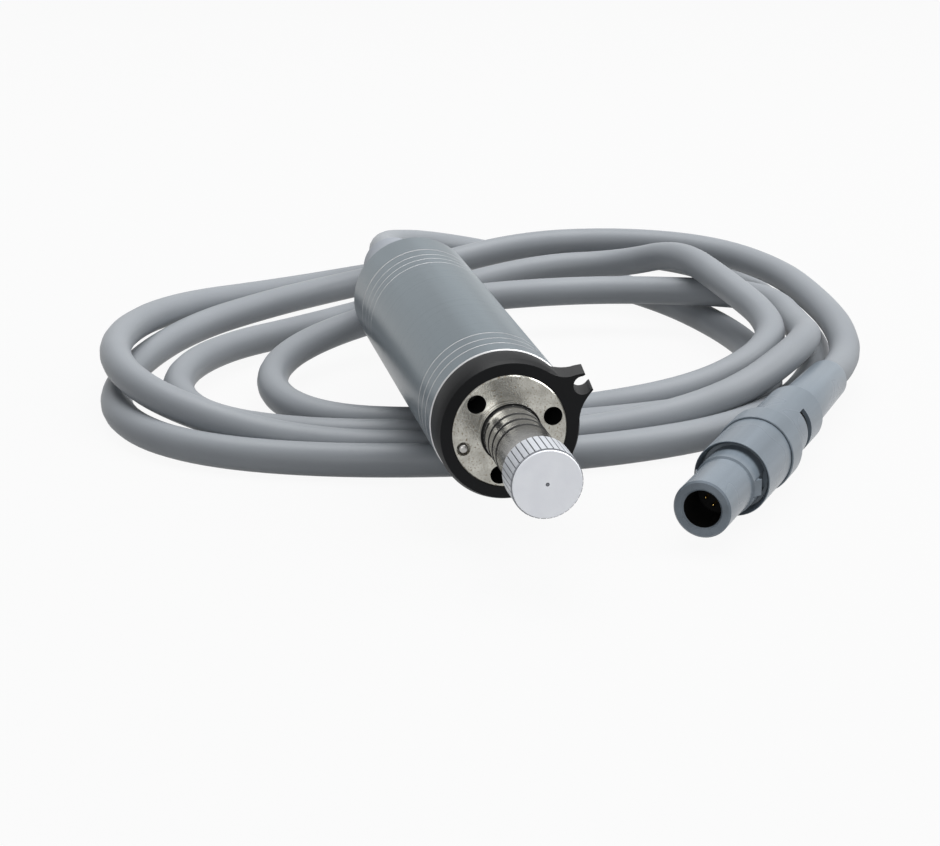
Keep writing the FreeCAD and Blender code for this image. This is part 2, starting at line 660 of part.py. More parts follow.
def phase_leads():
    start = STATOR_START + STATOR_LENGTH + WINDING_OVERHANG
    leads = []
    for angle in even_angles(PHASE_LEADS):
        x, z = around(PHASE_LEAD_CIRCLE_R, angle)
        leads.append(rod(PHASE_LEAD_R, start, REAR_CARRIER_END, x, z))
    return Part.makeCompound(leads)


def sensor_board():
    board = rod(INSIDE_R, REAR_CARRIER_END, BOARD_REAR)
    for angle in even_angles(PHASE_LEADS):
        x, z = around(SLEEVE_BORE_R, angle + 60.0)
        board = board.cut(rod(SLEEVE_WALL, REAR_CARRIER_END - END_GAP, BOARD_REAR + END_GAP, x, z))
    return board


def hall_sensors():
    wide, thick, tall = SENSOR_SIZE
    chip = block(SENSOR_CIRCLE_R - tall / 2, SENSOR_CIRCLE_R + tall / 2, BOARD_REAR, BOARD_REAR + thick,
                 -wide / 2, wide / 2)
    return Part.makeCompound([rolled(chip, angle) for angle in even_angles(PHASE_LEADS)])


def lead_wires():
    wires = []
    for angle in even_angles(WIRE_COUNT):
        x, z = around(WIRE_CIRCLE_R, angle)
        wires.append(rod(WIRE_R, BOARD_REAR, CABLE_ENTRY, x, z))
    return Part.makeCompound(wires)


# Rear end

def rear_cap():
    seal = REAR_CAP_START + SEAL_PLACE
    half = SEAL_GROOVE_WIDTH / 2
    floor = INSIDE_R - 2 * SEAL_SECTION_R - SEAT_GAP
    return turned([(REAR_CAP_BORE_R, REAR_CAP_START), (INSIDE_R, REAR_CAP_START), (INSIDE_R, seal - half),
                   (floor, seal - half), (floor, seal + half), (INSIDE_R, seal + half),
                   (INSIDE_R, SLEEVE_END), (REAR_CAP_BORE_R, SLEEVE_END)])


def rear_seal():
    return torus(INSIDE_R - SEAL_SECTION_R, SEAL_SECTION_R, REAR_CAP_START + SEAL_PLACE)


def cable_boot():
    root = REAR_CAP_START - BOOT_FLANGE_LENGTH
    neck = REAR_CAP_BORE_R - SEAT_GAP
    outline = [(r, SLEEVE_END + y) for r, y in BOOT_OUTLINE]
    cavity_end = root + BOOT_CAVITY_LENGTH
    return turned([(BOOT_CAVITY_R, root), (BOOT_FLANGE_R, root), (BOOT_FLANGE_R, REAR_CAP_START),
                   (neck, REAR_CAP_START), (neck, outline[0][1])] + outline
                  + [(CABLE_SEAT_R, outline[-1][1]), (CABLE_SEAT_R, cavity_end), (BOOT_CAVITY_R, cavity_end)])


def cable_clamp():
    start = REAR_CAP_START + BOOT_FLANGE_LENGTH
    band = ring(CABLE_SEAT_R + CLAMP_WALL, CABLE_SEAT_R, start, start + CLAMP_LENGTH)
    end = start + CLAMP_LENGTH
    slit = block(0, BOOT_CAVITY_R, start - END_GAP, end + END_GAP, -CLAMP_SLIT / 2, CLAMP_SLIT / 2)
    return band.cut(slit)


def cable_entry():
    return rod(CABLE_R, CABLE_ENTRY, CABLE_EXIT)


# Cable outside the motor

def cable_corners():
    """Corner arcs of the whole route as (entry, middle, leaving point, radius)."""
    points = [FreeCAD.Vector(*p) for p in CABLE_POINTS]
    corners = []
    for before, here, after in zip(points, points[1:], points[2:]):
        back = (before - here).normalize()
        ahead = (after - here).normalize()
        half_turn = (math.pi - back.getAngle(ahead)) / 2
        cut = CORNER_SHARE * min((before - here).Length, (after - here).Length)
        radius = cut / math.tan(half_turn)
        inward = (back + ahead).normalize()
        reach = radius / math.cos(half_turn) - radius
        corners.append((here + back * cut, here + inward * reach, here + ahead * cut, radius))
    return corners


def cable_pieces():
    """Tubes that meet face to face half-way along straight runs."""
    corners = cable_corners()
    points = [FreeCAD.Vector(*p) for p in CABLE_POINTS]
    print("corner radii", [round(c[3], 1) for c in corners])
    pieces = {}
    first = 0
    start = points[0]
    for name, last in CABLE_CUTS:
        chosen = corners[first:last]
        end = points[-1] if last is None else (points[last] + points[last + 1]) * 0.5
        edges = []
        here = start
        for entry, middle, leaving, _ in chosen:
            edges.append(Part.LineSegment(here, entry).toShape())
            edges.append(Part.Arc(entry, middle, leaving).toShape())
            here = leaving
        edges.append(Part.LineSegment(here, end).toShape())
        path = Part.Wire(edges)
        circle = Part.Wire(Part.makeCircle(CABLE_R, start, edges[0].tangentAt(edges[0].FirstParameter)))
        tube = path.makePipeShell([circle], True, False)
        if tube.Volume < 0:
            tube.reverse()
        expected = math.pi * CABLE_R ** 2 * path.Length
        print(name, "volume", round(tube.Volume, 1), "section times length", round(expected, 1),
              "length", round(path.Length, 1))
        pieces[name] = tube
        start = end
        first = last
    return pieces


# Plug

def on_plug(shape):
    """Move a shape from the plug's own axis to where the plug lies."""
    placed = shape.copy()
    placed.rotate(ORIGIN, AXIS_Z, PLUG_TURN)
    placed.translate(FreeCAD.Vector(*PLUG_NOSE))
    return placed


def plug_barrel():
    edge = BARREL_CHAMFER
    flange_end = BARREL_FLANGE_START + BARREL_FLANGE_LENGTH
    body = turned([(BARREL_BORE_R + edge, 0), (BARREL_R - edge, 0), (BARREL_R, edge), (BARREL_R, BARREL_STEP),
                   (BARREL_STEP_R, BARREL_STEP + edge), (BARREL_STEP_R, BARREL_FLANGE_START),
                   (BARREL_FLANGE_R, BARREL_FLANGE_START), (BARREL_FLANGE_R, flange_end),
                   (BARREL_POCKET_R, flange_end), (BARREL_POCKET_R, BARREL_BORE_LENGTH),
                   (BARREL_BORE_R, BARREL_BORE_LENGTH), (BARREL_BORE_R, edge)])
    for angle in (0.0, 180.0):
        half = LATCH_SLOT_WIDTH / 2
        slot = block(LATCH_SLOT_FLOOR, 2 * BARREL_R, LATCH_SLOT_START,
                     LATCH_RING_START + LATCH_RING_LENGTH + END_GAP, -half, half)
        body = body.cut(rolled(slot, angle))
    return body


def plug_latch():
    inner = BARREL_STEP_R + SEAT_GAP
    ring_end = LATCH_RING_START + LATCH_RING_LENGTH
    body = ring(inner + LATCH_RING_WALL, inner, LATCH_RING_START, ring_end)
    floor = LATCH_SLOT_FLOOR + SEAT_GAP
    half = LATCH_SLOT_WIDTH / 2 - 2 * RUN_GAP
    front = LATCH_SLOT_START + 2 * RUN_GAP
    for angle in (0.0, 180.0):
        arm = block(floor, floor + LATCH_ARM_THICKNESS, front, ring_end, -half, half)
        foot = block(floor, inner + LATCH_RING_WALL / 2, LATCH_RING_START, ring_end, -half, half)
        corners = [(floor, front), (LATCH_TAB_HEIGHT - 2 * LATCH_ARM_THICKNESS, front),
                   (LATCH_TAB_HEIGHT, front + LATCH_TAB_LENGTH), (floor, front + LATCH_TAB_LENGTH)]
        points = [FreeCAD.Vector(x, y, -half) for x, y in corners]
        tab = Part.Face(Part.makePolygon(points + points[:1])).extrude(AXIS_Z * (2 * half))
        body = body.fuse(rolled(arm.fuse(foot).fuse(tab), angle))
    return body.removeSplitter()


def plug_release_sleeve():
    shoulder_r = BARREL_STEP_R + RUN_GAP
    shoulder_end = RELEASE_SHOULDER + RELEASE_SHOULDER_LENGTH
    edge = BARREL_CHAMFER / 2
    return turned([(RELEASE_BORE_R, RELEASE_START + RELEASE_RIM), (RELEASE_R - edge, RELEASE_START),
                   (RELEASE_R, RELEASE_START + edge), (RELEASE_R, RELEASE_END),
                   (RELEASE_BORE_R, RELEASE_END), (RELEASE_BORE_R, shoulder_end), (shoulder_r, shoulder_end),
                   (shoulder_r, RELEASE_SHOULDER), (RELEASE_BORE_R, RELEASE_SHOULDER)])


def sleeve_spring():
    start = RELEASE_SHOULDER + RELEASE_SHOULDER_LENGTH
    return coil(SLEEVE_SPRING_R, SLEEVE_SPRING_HALF_WIRE, start, BARREL_FLANGE_START, SLEEVE_SPRING_TURNS)


def plug_rear_body():
    pocket_r = RELEASE_R + RUN_GAP
    seat_r = BARREL_FLANGE_R + SEAT_GAP
    seat_end = BARREL_FLANGE_START + BARREL_FLANGE_LENGTH
    spigot_end = REAR_BODY_END + SPIGOT_LENGTH
    edge = REAR_BODY_EDGE
    return turned([(pocket_r, REAR_BODY_START), (REAR_BODY_R - edge / 2, REAR_BODY_START),
                   (REAR_BODY_R, REAR_BODY_START + edge / 2), (REAR_BODY_R, REAR_BODY_END - edge),
                   (REAR_BODY_R - edge, REAR_BODY_END), (SPIGOT_R, REAR_BODY_END), (SPIGOT_R, spigot_end),
                   (SPIGOT_BORE_R, spigot_end), (SPIGOT_BORE_R, seat_end), (seat_r, seat_end),
                   (seat_r, BARREL_FLANGE_START), (pocket_r, BARREL_FLANGE_START)])


def plug_collet_nut():
    bore = SPIGOT_R + SEAT_GAP
    nut = turned([(bore, REAR_BODY_END), (NUT_R, REAR_BODY_END), (NUT_R, NUT_END - NUT_EDGE),
                  (NUT_R - NUT_EDGE, NUT_END), (bore, NUT_END)])
    place, width = NUT_SLOT
    first, last = NUT_SLOT_ANGLES
    floor = NUT_R - NUT_SLOT_DEPTH
    rim = NUT_R + END_GAP
    corners = [(floor, place), (rim, place), (rim, place + width), (floor, place + width), (floor, place)]
    section = Part.Face(Part.makePolygon([FreeCAD.Vector(r, y, 0) for r, y in corners]))
    slot = section.revolve(ORIGIN, AXIS_Y, first - last)
    return nut.cut(rolled(slot, first))


def plug_cable_collet():
    outer = SPIGOT_BORE_R - SEAT_GAP
    end = COLLET_START + COLLET_LENGTH
    body = ring(outer, CABLE_SEAT_R, COLLET_START, end)
    slit = block(0, SPIGOT_R, COLLET_START + COLLET_SLIT, end + END_GAP, -COLLET_SLIT / 2, COLLET_SLIT / 2)
    for angle in even_angles(COLLET_SLITS):
        body = body.cut(rolled(slit, angle))
    return body


def plug_bend_relief():
    root_r = SPIGOT_R - SEAT_GAP
    return turned([(CABLE_SEAT_R, RELIEF_ROOT), (root_r, RELIEF_ROOT), (root_r, NUT_END), (RELIEF_R, NUT_END),
                   (RELIEF_END_R, RELIEF_END - RELIEF_EDGE), (RELIEF_END_R - RELIEF_EDGE, RELIEF_END),
                   (CABLE_SEAT_R, RELIEF_END)])


def plug_cable_end():
    return rod(CABLE_R, PLUG_CABLE_START, PLUG_LENGTH)


def contact_places():
    ring_angles = [CONTACT_FIRST_ANGLE + angle for angle in even_angles(CONTACT_COUNT)]
    return [(0.0, 0.0)] + [around(CONTACT_CIRCLE_R, angle) for angle in ring_angles]


def plug_insulator():
    body = rod(BARREL_POCKET_R - SEAT_GAP, INSULATOR_START, INSULATOR_END)
    for x, z in contact_places():
        body = body.cut(rod(CONTACT_R + SEAT_GAP, INSULATOR_START - END_GAP, INSULATOR_END + END_GAP, x, z))
    return body


def contact_pins():
    """Round pins with domed tips."""
    pins = []
    for x, z in contact_places():
        pin = rod(CONTACT_R, CONTACT_START + CONTACT_R, CONTACT_END, x, z)
        pins.append(pin.fuse(Part.makeSphere(CONTACT_R, FreeCAD.Vector(x, CONTACT_START + CONTACT_R, z))))
    return Part.makeCompound(pins)


def build():
    parts = {
        "motor_sleeve": motor_sleeve(),
        "nose_flange": nose_flange(),
        "flange_screws": flange_screws(),
        "locating_pin": locating_pin(),
        "nose_o_rings": nose_o_rings(),
        "nose_lock_spring": nose_lock_spring(),
        "nose_cap": nose_cap(),
        "clip_ring": clip_ring(),
        "front_bearing_carrier": front_bearing_carrier(),
        "rear_bearing_carrier": rear_bearing_carrier(),
        "preload_spring": preload_spring(),
        "rotor_shaft": rotor_shaft(),
        "rotor_magnet": rotor_magnet(),
        "magnet_band": magnet_band(),
        "balance_rings": balance_rings(),
        "drive_dog": drive_dog(),
        "dog_spring": dog_spring(),
        "stator_core": stator_core(),
        "winding": winding(),
        "phase_leads": phase_leads(),
        "sensor_board": sensor_board(),
        "hall_sensors": hall_sensors(),
        "lead_wires": lead_wires(),
        "rear_cap": rear_cap(),
        "rear_seal": rear_seal(),
        "cable_boot": cable_boot(),
        "cable_clamp": cable_clamp(),
        "cable_entry": cable_entry(),
    }
    for side, start in (("front", FRONT_BEARING), ("rear", REAR_BEARING)):
        parts[side + "_outer_race"] = outer_race(start)
        parts[side + "_inner_race"] = inner_race(start)
        parts[side + "_balls"] = balls(start)
        parts[side + "_cage"] = cage(start)
    parts.update(cable_pieces())
    plug = {
        "plug_barrel": plug_barrel(),
        "plug_latch": plug_latch(),
        "plug_release_sleeve": plug_release_sleeve(),
        "sleeve_spring": sleeve_spring(),
        "plug_rear_body": plug_rear_body(),
        "plug_collet_nut": plug_collet_nut(),
        "plug_cable_collet": plug_cable_collet(),
        "plug_bend_relief": plug_bend_relief(),
        "plug_cable_end": plug_cable_end(),
        "plug_insulator": plug_insulator(),
        "contact_pins": contact_pins(),
    }
    for name, shape in plug.items():
        parts[name] = on_plug(shape)
    return parts


def main():
    os.makedirs("parts", exist_ok=True)
    for name, shape in build().items():
        print(name, len(shape.Solids), shape.isValid(), round(shape.Volume, 2))
        shape.exportStep("parts/" + name + ".step")


main()
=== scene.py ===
import json
import math

import bmesh
import bpy
from mathutils import Matrix, Vector


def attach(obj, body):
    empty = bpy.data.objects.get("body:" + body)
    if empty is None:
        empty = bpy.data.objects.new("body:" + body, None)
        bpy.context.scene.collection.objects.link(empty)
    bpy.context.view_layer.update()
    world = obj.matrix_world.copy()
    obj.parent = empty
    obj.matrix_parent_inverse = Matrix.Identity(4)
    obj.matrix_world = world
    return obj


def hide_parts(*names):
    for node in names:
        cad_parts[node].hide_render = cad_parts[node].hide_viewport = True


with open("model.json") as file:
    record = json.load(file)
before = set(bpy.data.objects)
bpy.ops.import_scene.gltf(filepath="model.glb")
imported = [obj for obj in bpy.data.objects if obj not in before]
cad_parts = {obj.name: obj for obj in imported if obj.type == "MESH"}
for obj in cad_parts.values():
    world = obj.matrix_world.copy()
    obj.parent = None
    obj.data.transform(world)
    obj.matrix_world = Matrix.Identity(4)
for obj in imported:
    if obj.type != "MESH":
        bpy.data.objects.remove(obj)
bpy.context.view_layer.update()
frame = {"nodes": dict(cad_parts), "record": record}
scene = bpy.context.scene
MM = 0.001


# Camera at the photograph's viewing angle; its place is in metres

CAMERA_RIGHT = Vector((0.9783, -0.2074, 0.0))
CAMERA_AHEAD = Vector((0.1965, 0.9268, -0.3201))
CAMERA_PLACE = (-0.0705, -0.3027, 0.1064)
LENS = 81.65
SENSOR_WIDTH = 36.0


def add_camera():
    ahead = CAMERA_AHEAD.normalized()
    up = CAMERA_RIGHT.normalized().cross(ahead).normalized()
    right = ahead.cross(up).normalized()
    data = bpy.data.cameras.new("camera")
    data.lens = LENS
    data.sensor_width = SENSOR_WIDTH
    data.clip_start = 0.01
    data.clip_end = 20.0
    camera = bpy.data.objects.new("camera", data)
    scene.collection.objects.link(camera)
    turn = Matrix((right, up, -ahead)).transposed().to_4x4()
    camera.matrix_world = Matrix.Translation(CAMERA_PLACE) @ turn
    scene.camera = camera


add_camera()


# Cable: one smooth line led by the route's points, in millimetres

CABLE_DIAMETER = 5.8
CABLE_POINTS = [
    (0, 105, 0), (0, 112, 0), (1, 123, -1), (5.5, 139.5, -4),
    (16, 153.5, -8), (32, 156.5, -12), (48.5, 144.5, -14.7), (61.5, 122, -14.7),
    (68, 93, -14.7), (67, 71, -14.7), (60.5, 50, -14.7), (36.5, 43.5, -14.7),
    (4.5, 42, -14.7), (-23, 46, -14.7), (-42.5, 59, -14.7), (-47, 76.5, -13),
    (-37, 97, -13), (-15, 114.5, -14.7), (12, 128, -13), (36.5, 133, -9.5),
    (54, 126.5, -8), (62, 111.5, -2), (65, 91, -3.5), (68.5, 70, -6.5),
    (61, 57.5, -9), (46, 52, -13), (21.5, 49.5, -14.7), (-3.5, 48.5, -14.7),
    (-22, 55.5, -14.7), (-29.5, 69, -13.5), (-25.5, 85.5, -12), (-10.5, 100, -10.5),
    (13, 109.5, -9), (40.5, 111.5, -9), (63.5, 105.5, -9), (75.5, 92.5, -7.5),
    (75, 74.5, -9), (69.5, 54, -5), (46.5, 38.5, -12), (9.5, 35, -14.7),
    (-25, 40, -14.7), (-47.5, 52.5, -10), (-57, 70.5, -7.5), (-55.5, 93, -7.5),
    (-43, 117.5, -9.5), (-18.5, 139, -13.5), (11.5, 156, -14.7), (41, 165.5, -14.7),
    (65.5, 162.5, -14.7), (82, 143, -14.7), (83.5, 108, -14.7), (80.5, 72, -14.7),
    (56, 37, -14.7), (20, 27, -14.7), (-20, 31.5, -14.7), (-47.5, 44.5, -14.7),
    (-58.5, 66, -14.7), (-54, 90.5, -14), (-40.5, 111, -12.5), (-22.5, 126.5, -12.5),
    (-4, 138, -12.5), (15.5, 145.5, -11.5), (36.5, 148, -8), (57.5, 143.5, -7),
    (75, 130, -6.5), (83.5, 110, -7), (84, 88, -8), (81.5, 69.5, -8),
    (79.18, 59.65, -10.95), (73.28, 51.55, -10.95)]
CABLE_NODES = ("cable_lead", "cable_turn_1", "cable_turn_2", "cable_turn_3", "cable_turn_4", "cable_tail")


def add_cable():
    curve = bpy.data.curves.new("silicone_cable", "CURVE")
    curve.dimensions = "3D"
    curve.bevel_depth = CABLE_DIAMETER / 2 * MM
    curve.bevel_resolution = 7
    curve.resolution_u = 10
    curve.use_fill_caps = True
    spline = curve.splines.new("NURBS")
    spline.points.add(len(CABLE_POINTS) - 1)
    for point, place in zip(spline.points, CABLE_POINTS):
        point.co = (place[0] * MM, place[1] * MM, place[2] * MM, 1.0)
    spline.order_u = 3
    spline.use_endpoint_u = True
    spline.use_smooth = True
    cable = bpy.data.objects.new("silicone_cable", curve)
    scene.collection.objects.link(cable)
    return cable


cable = add_cable()


# Node groups shared by the finishes

def new_group(name, inputs, outputs):
    group = bpy.data.node_groups.new(name, "ShaderNodeTree")
    for label in inputs:
        group.interface.new_socket(label, in_out="INPUT", socket_type="NodeSocketFloat")
    for label in outputs:
        group.interface.new_socket(label, in_out="OUTPUT", socket_type="NodeSocketFloat")
    return group, group.nodes.new("NodeGroupInput"), group.nodes.new("NodeGroupOutput")


def link(group, source, target):
    group.links.new(source, target)


def noise_node(group, detail, roughness, dimensions="3D"):
    noise = group.nodes.new("ShaderNodeTexNoise")
    noise.noise_dimensions = dimensions
    noise.inputs["Detail"].default_value = detail
    noise.inputs["Roughness"].default_value = roughness
    return noise


def range_node(group, low, high):
    ramp = group.nodes.new("ShaderNodeMapRange")
    ramp.inputs["From Min"].default_value = low
    ramp.inputs["From Max"].default_value = high
    return ramp


def make_grain():
    """Fine grain and slow cloudiness of a moulded or cast surface."""
    group, given, result = new_group("grain", ["Grain Scale", "Cloud Scale"], ["Grain", "Cloud"])
    place = group.nodes.new("ShaderNodeTexCoord")
    fine = noise_node(group, detail=3.0, roughness=0.6)
    slow = noise_node(group, detail=2.0, roughness=0.5)
    for noise, label, out in ((fine, "Grain Scale", "Grain"), (slow, "Cloud Scale", "Cloud")):
        link(group, place.outputs["Object"], noise.inputs["Vector"])
        link(group, given.outputs[label], noise.inputs["Scale"])
        ramp = range_node(group, low=0.3, high=0.7)
        link(group, noise.outputs["Fac"], ramp.inputs["Value"])
        link(group, ramp.outputs["Result"], result.inputs[out])
    return group


def make_turning():
    """Fine lines left round the motor axis by turning on a lathe."""
    group, given, result = new_group("turning_lines", ["Line Scale"], ["Lines"])
    place = group.nodes.new("ShaderNodeTexCoord")
    split = group.nodes.new("ShaderNodeSeparateXYZ")
    link(group, place.outputs["Object"], split.inputs["Vector"])
    lines = noise_node(group, detail=4.0, roughness=0.7, dimensions="1D")
    link(group, split.outputs["Y"], lines.inputs["W"])
    link(group, given.outputs["Line Scale"], lines.inputs["Scale"])
    ramp = range_node(group, low=0.25, high=0.75)
    link(group, lines.outputs["Fac"], ramp.inputs["Value"])
    link(group, ramp.outputs["Result"], result.inputs["Lines"])
    return group


SCRATCH_TURN = (0.4, 0.7, 0.3)
SCRATCH_STRETCH = (1.0, 1.0, 14.0)


def make_specks():
    """Scattered small stains and scratches of a used metal face; a higher share input gives fewer stains."""
    group, given, result = new_group("wear_specks", ["Speck Scale", "Share"], ["Specks", "Scratches"])
    place = group.nodes.new("ShaderNodeTexCoord")
    blots = noise_node(group, detail=6.0, roughness=0.7)
    link(group, place.outputs["Object"], blots.inputs["Vector"])
    link(group, given.outputs["Speck Scale"], blots.inputs["Scale"])
    cut = range_node(group, low=0.0, high=0.62)
    link(group, given.outputs["Share"], cut.inputs["From Min"])
    link(group, blots.outputs["Fac"], cut.inputs["Value"])
    link(group, cut.outputs["Result"], result.inputs["Specks"])
    stretch = group.nodes.new("ShaderNodeMapping")
    stretch.inputs["Rotation"].default_value = SCRATCH_TURN
    stretch.inputs["Scale"].default_value = SCRATCH_STRETCH
    link(group, place.outputs["Object"], stretch.inputs["Vector"])
    marks = noise_node(group, detail=2.0, roughness=0.5)
    link(group, stretch.outputs["Vector"], marks.inputs["Vector"])
    link(group, given.outputs["Speck Scale"], marks.inputs["Scale"])
    thin = range_node(group, low=0.62, high=0.7)
    link(group, marks.outputs["Fac"], thin.inputs["Value"])
    link(group, thin.outputs["Result"], result.inputs["Scratches"])
    return group


REFLECTION_FLATTEN = (1.0, 0.03, 1.0)


def make_painted_reflections():
    """Painted reflections: faint lengthwise bands along a turned piece that stand in for reflected
    surroundings; the turn is its axis' angle from Y about Z.
    """
    group, given, result = new_group("painted_reflection_bands", ["Streak Scale", "Turn"], ["Streaks"])
    place = group.nodes.new("ShaderNodeTexCoord")
    turn = group.nodes.new("ShaderNodeVectorRotate")
    turn.rotation_type = "Z_AXIS"
    link(group, place.outputs["Object"], turn.inputs["Vector"])
    link(group, given.outputs["Turn"], turn.inputs["Angle"])
    flatten = group.nodes.new("ShaderNodeVectorMath")
    flatten.operation = "MULTIPLY"
    flatten.inputs[1].default_value = REFLECTION_FLATTEN
    link(group, turn.outputs["Vector"], flatten.inputs[0])
    bands = noise_node(group, detail=3.0, roughness=0.55)
    link(group, flatten.outputs["Vector"], bands.inputs["Vector"])
    link(group, given.outputs["Streak Scale"], bands.inputs["Scale"])
    sharpen = range_node(group, low=0.38, high=0.62)
    link(group, bands.outputs["Fac"], sharpen.inputs["Value"])
    link(group, sharpen.outputs["Result"], result.inputs["Streaks"])
    return group


GRAIN = make_grain()
TURNING = make_turning()
SPECKS = make_specks()
PAINTED_REFLECTIONS = make_painted_reflections()


# Finishes

CLOUD_OR_REFLECTION_SHARE = 0.8
GRAIN_SHARE = 0.35
LINE_SHARE = 0.2
STAIN_SHARE = 0.85
SCRATCH_SHARE = 0.4
BUMP_HEIGHT = 0.00004
MIX_FIRST = 6
MIX_SECOND = 7
MIX_RESULT = 2
PLUG_TURN = math.radians(36.08)


def mixed(tree, factor, first, second, strength):
    """Colour between two colours by a mask; the strength scales the mask."""
    scale = tree.nodes.new("ShaderNodeMath")
    scale.operation = "MULTIPLY"
    scale.inputs[1].default_value = strength
    tree.links.new(factor, scale.inputs[0])
    mix = tree.nodes.new("ShaderNodeMix")
    mix.data_type = "RGBA"
    tree.links.new(scale.outputs["Value"], mix.inputs["Factor"])
    for value, socket in ((first, mix.inputs[MIX_FIRST]), (second, mix.inputs[MIX_SECOND])):
        if isinstance(value, bpy.types.NodeSocket):
            tree.links.new(value, socket)
        else:
            socket.default_value = (*value, 1.0)
    return mix.outputs[MIX_RESULT]


def spread(tree, value, low, high):
    """Value from a mask between a low and a high figure."""
    ramp = tree.nodes.new("ShaderNodeMapRange")
    ramp.inputs["To Min"].default_value = low
    ramp.inputs["To Max"].default_value = high
    tree.links.new(value, ramp.inputs["Value"])
    return ramp.outputs["Result"]


def use_group(tree, group, **values):
    node = tree.nodes.new("ShaderNodeGroup")
    node.node_tree = group
    for label, value in values.items():
        node.inputs[label.replace("_", " ")].default_value = value
    return node


def finish(name, colour, second, metallic=0.0, rough=(0.4, 0.5), grain=4000.0, cloud=60.0, bump=0.1,
           turning=None, specks=None, specular=0.5, painted_reflections=None):
    """A procedural material: two tones by grain and cloud, optional turning lines, painted reflection bands
    in place of the cloud, and stains.

    The specks are (scale, share, stain colour) and the painted reflections are (scale, turn).
    """
    material = bpy.data.materials.new(name)
    material.use_nodes = True
    tree = material.node_tree
    shader = tree.nodes["Principled BSDF"]
    shader.inputs["Metallic"].default_value = metallic
    shader.inputs["Specular IOR Level"].default_value = specular
    grains = use_group(tree, GRAIN, Grain_Scale=grain, Cloud_Scale=cloud)
    cloud_or_reflections = grains.outputs["Cloud"]
    # Painted reflections: lengthwise bands take the cloud's place in the two-tone mix
    if painted_reflections:
        bands = use_group(tree, PAINTED_REFLECTIONS, Streak_Scale=painted_reflections[0], Turn=painted_reflections[1])
        cloud_or_reflections = bands.outputs["Streaks"]
    tone = mixed(tree, cloud_or_reflections, colour, second, CLOUD_OR_REFLECTION_SHARE)
    tone = mixed(tree, grains.outputs["Grain"], tone, second, GRAIN_SHARE)
    height = grains.outputs["Grain"]
    gloss = grains.outputs["Cloud"]
    if turning:
        lines = use_group(tree, TURNING, Line_Scale=turning)
        tone = mixed(tree, lines.outputs["Lines"], tone, second, LINE_SHARE)
        height = lines.outputs["Lines"]
        gloss = lines.outputs["Lines"]
    if specks:
        scale, share, stain = specks
        marks = use_group(tree, SPECKS, Speck_Scale=scale, Share=share)
        tone = mixed(tree, marks.outputs["Specks"], tone, stain, STAIN_SHARE)
        tone = mixed(tree, marks.outputs["Scratches"], tone, second, SCRATCH_SHARE)
        gloss = marks.outputs["Specks"]
    tree.links.new(tone, shader.inputs["Base Color"])
    tree.links.new(spread(tree, gloss, rough[0], rough[1]), shader.inputs["Roughness"])
    lift = tree.nodes.new("ShaderNodeBump")
    lift.inputs["Strength"].default_value = bump
    lift.inputs["Distance"].default_value = BUMP_HEIGHT
    tree.links.new(height, lift.inputs["Height"])
    tree.links.new(lift.outputs["Normal"], shader.inputs["Normal"])
    return material


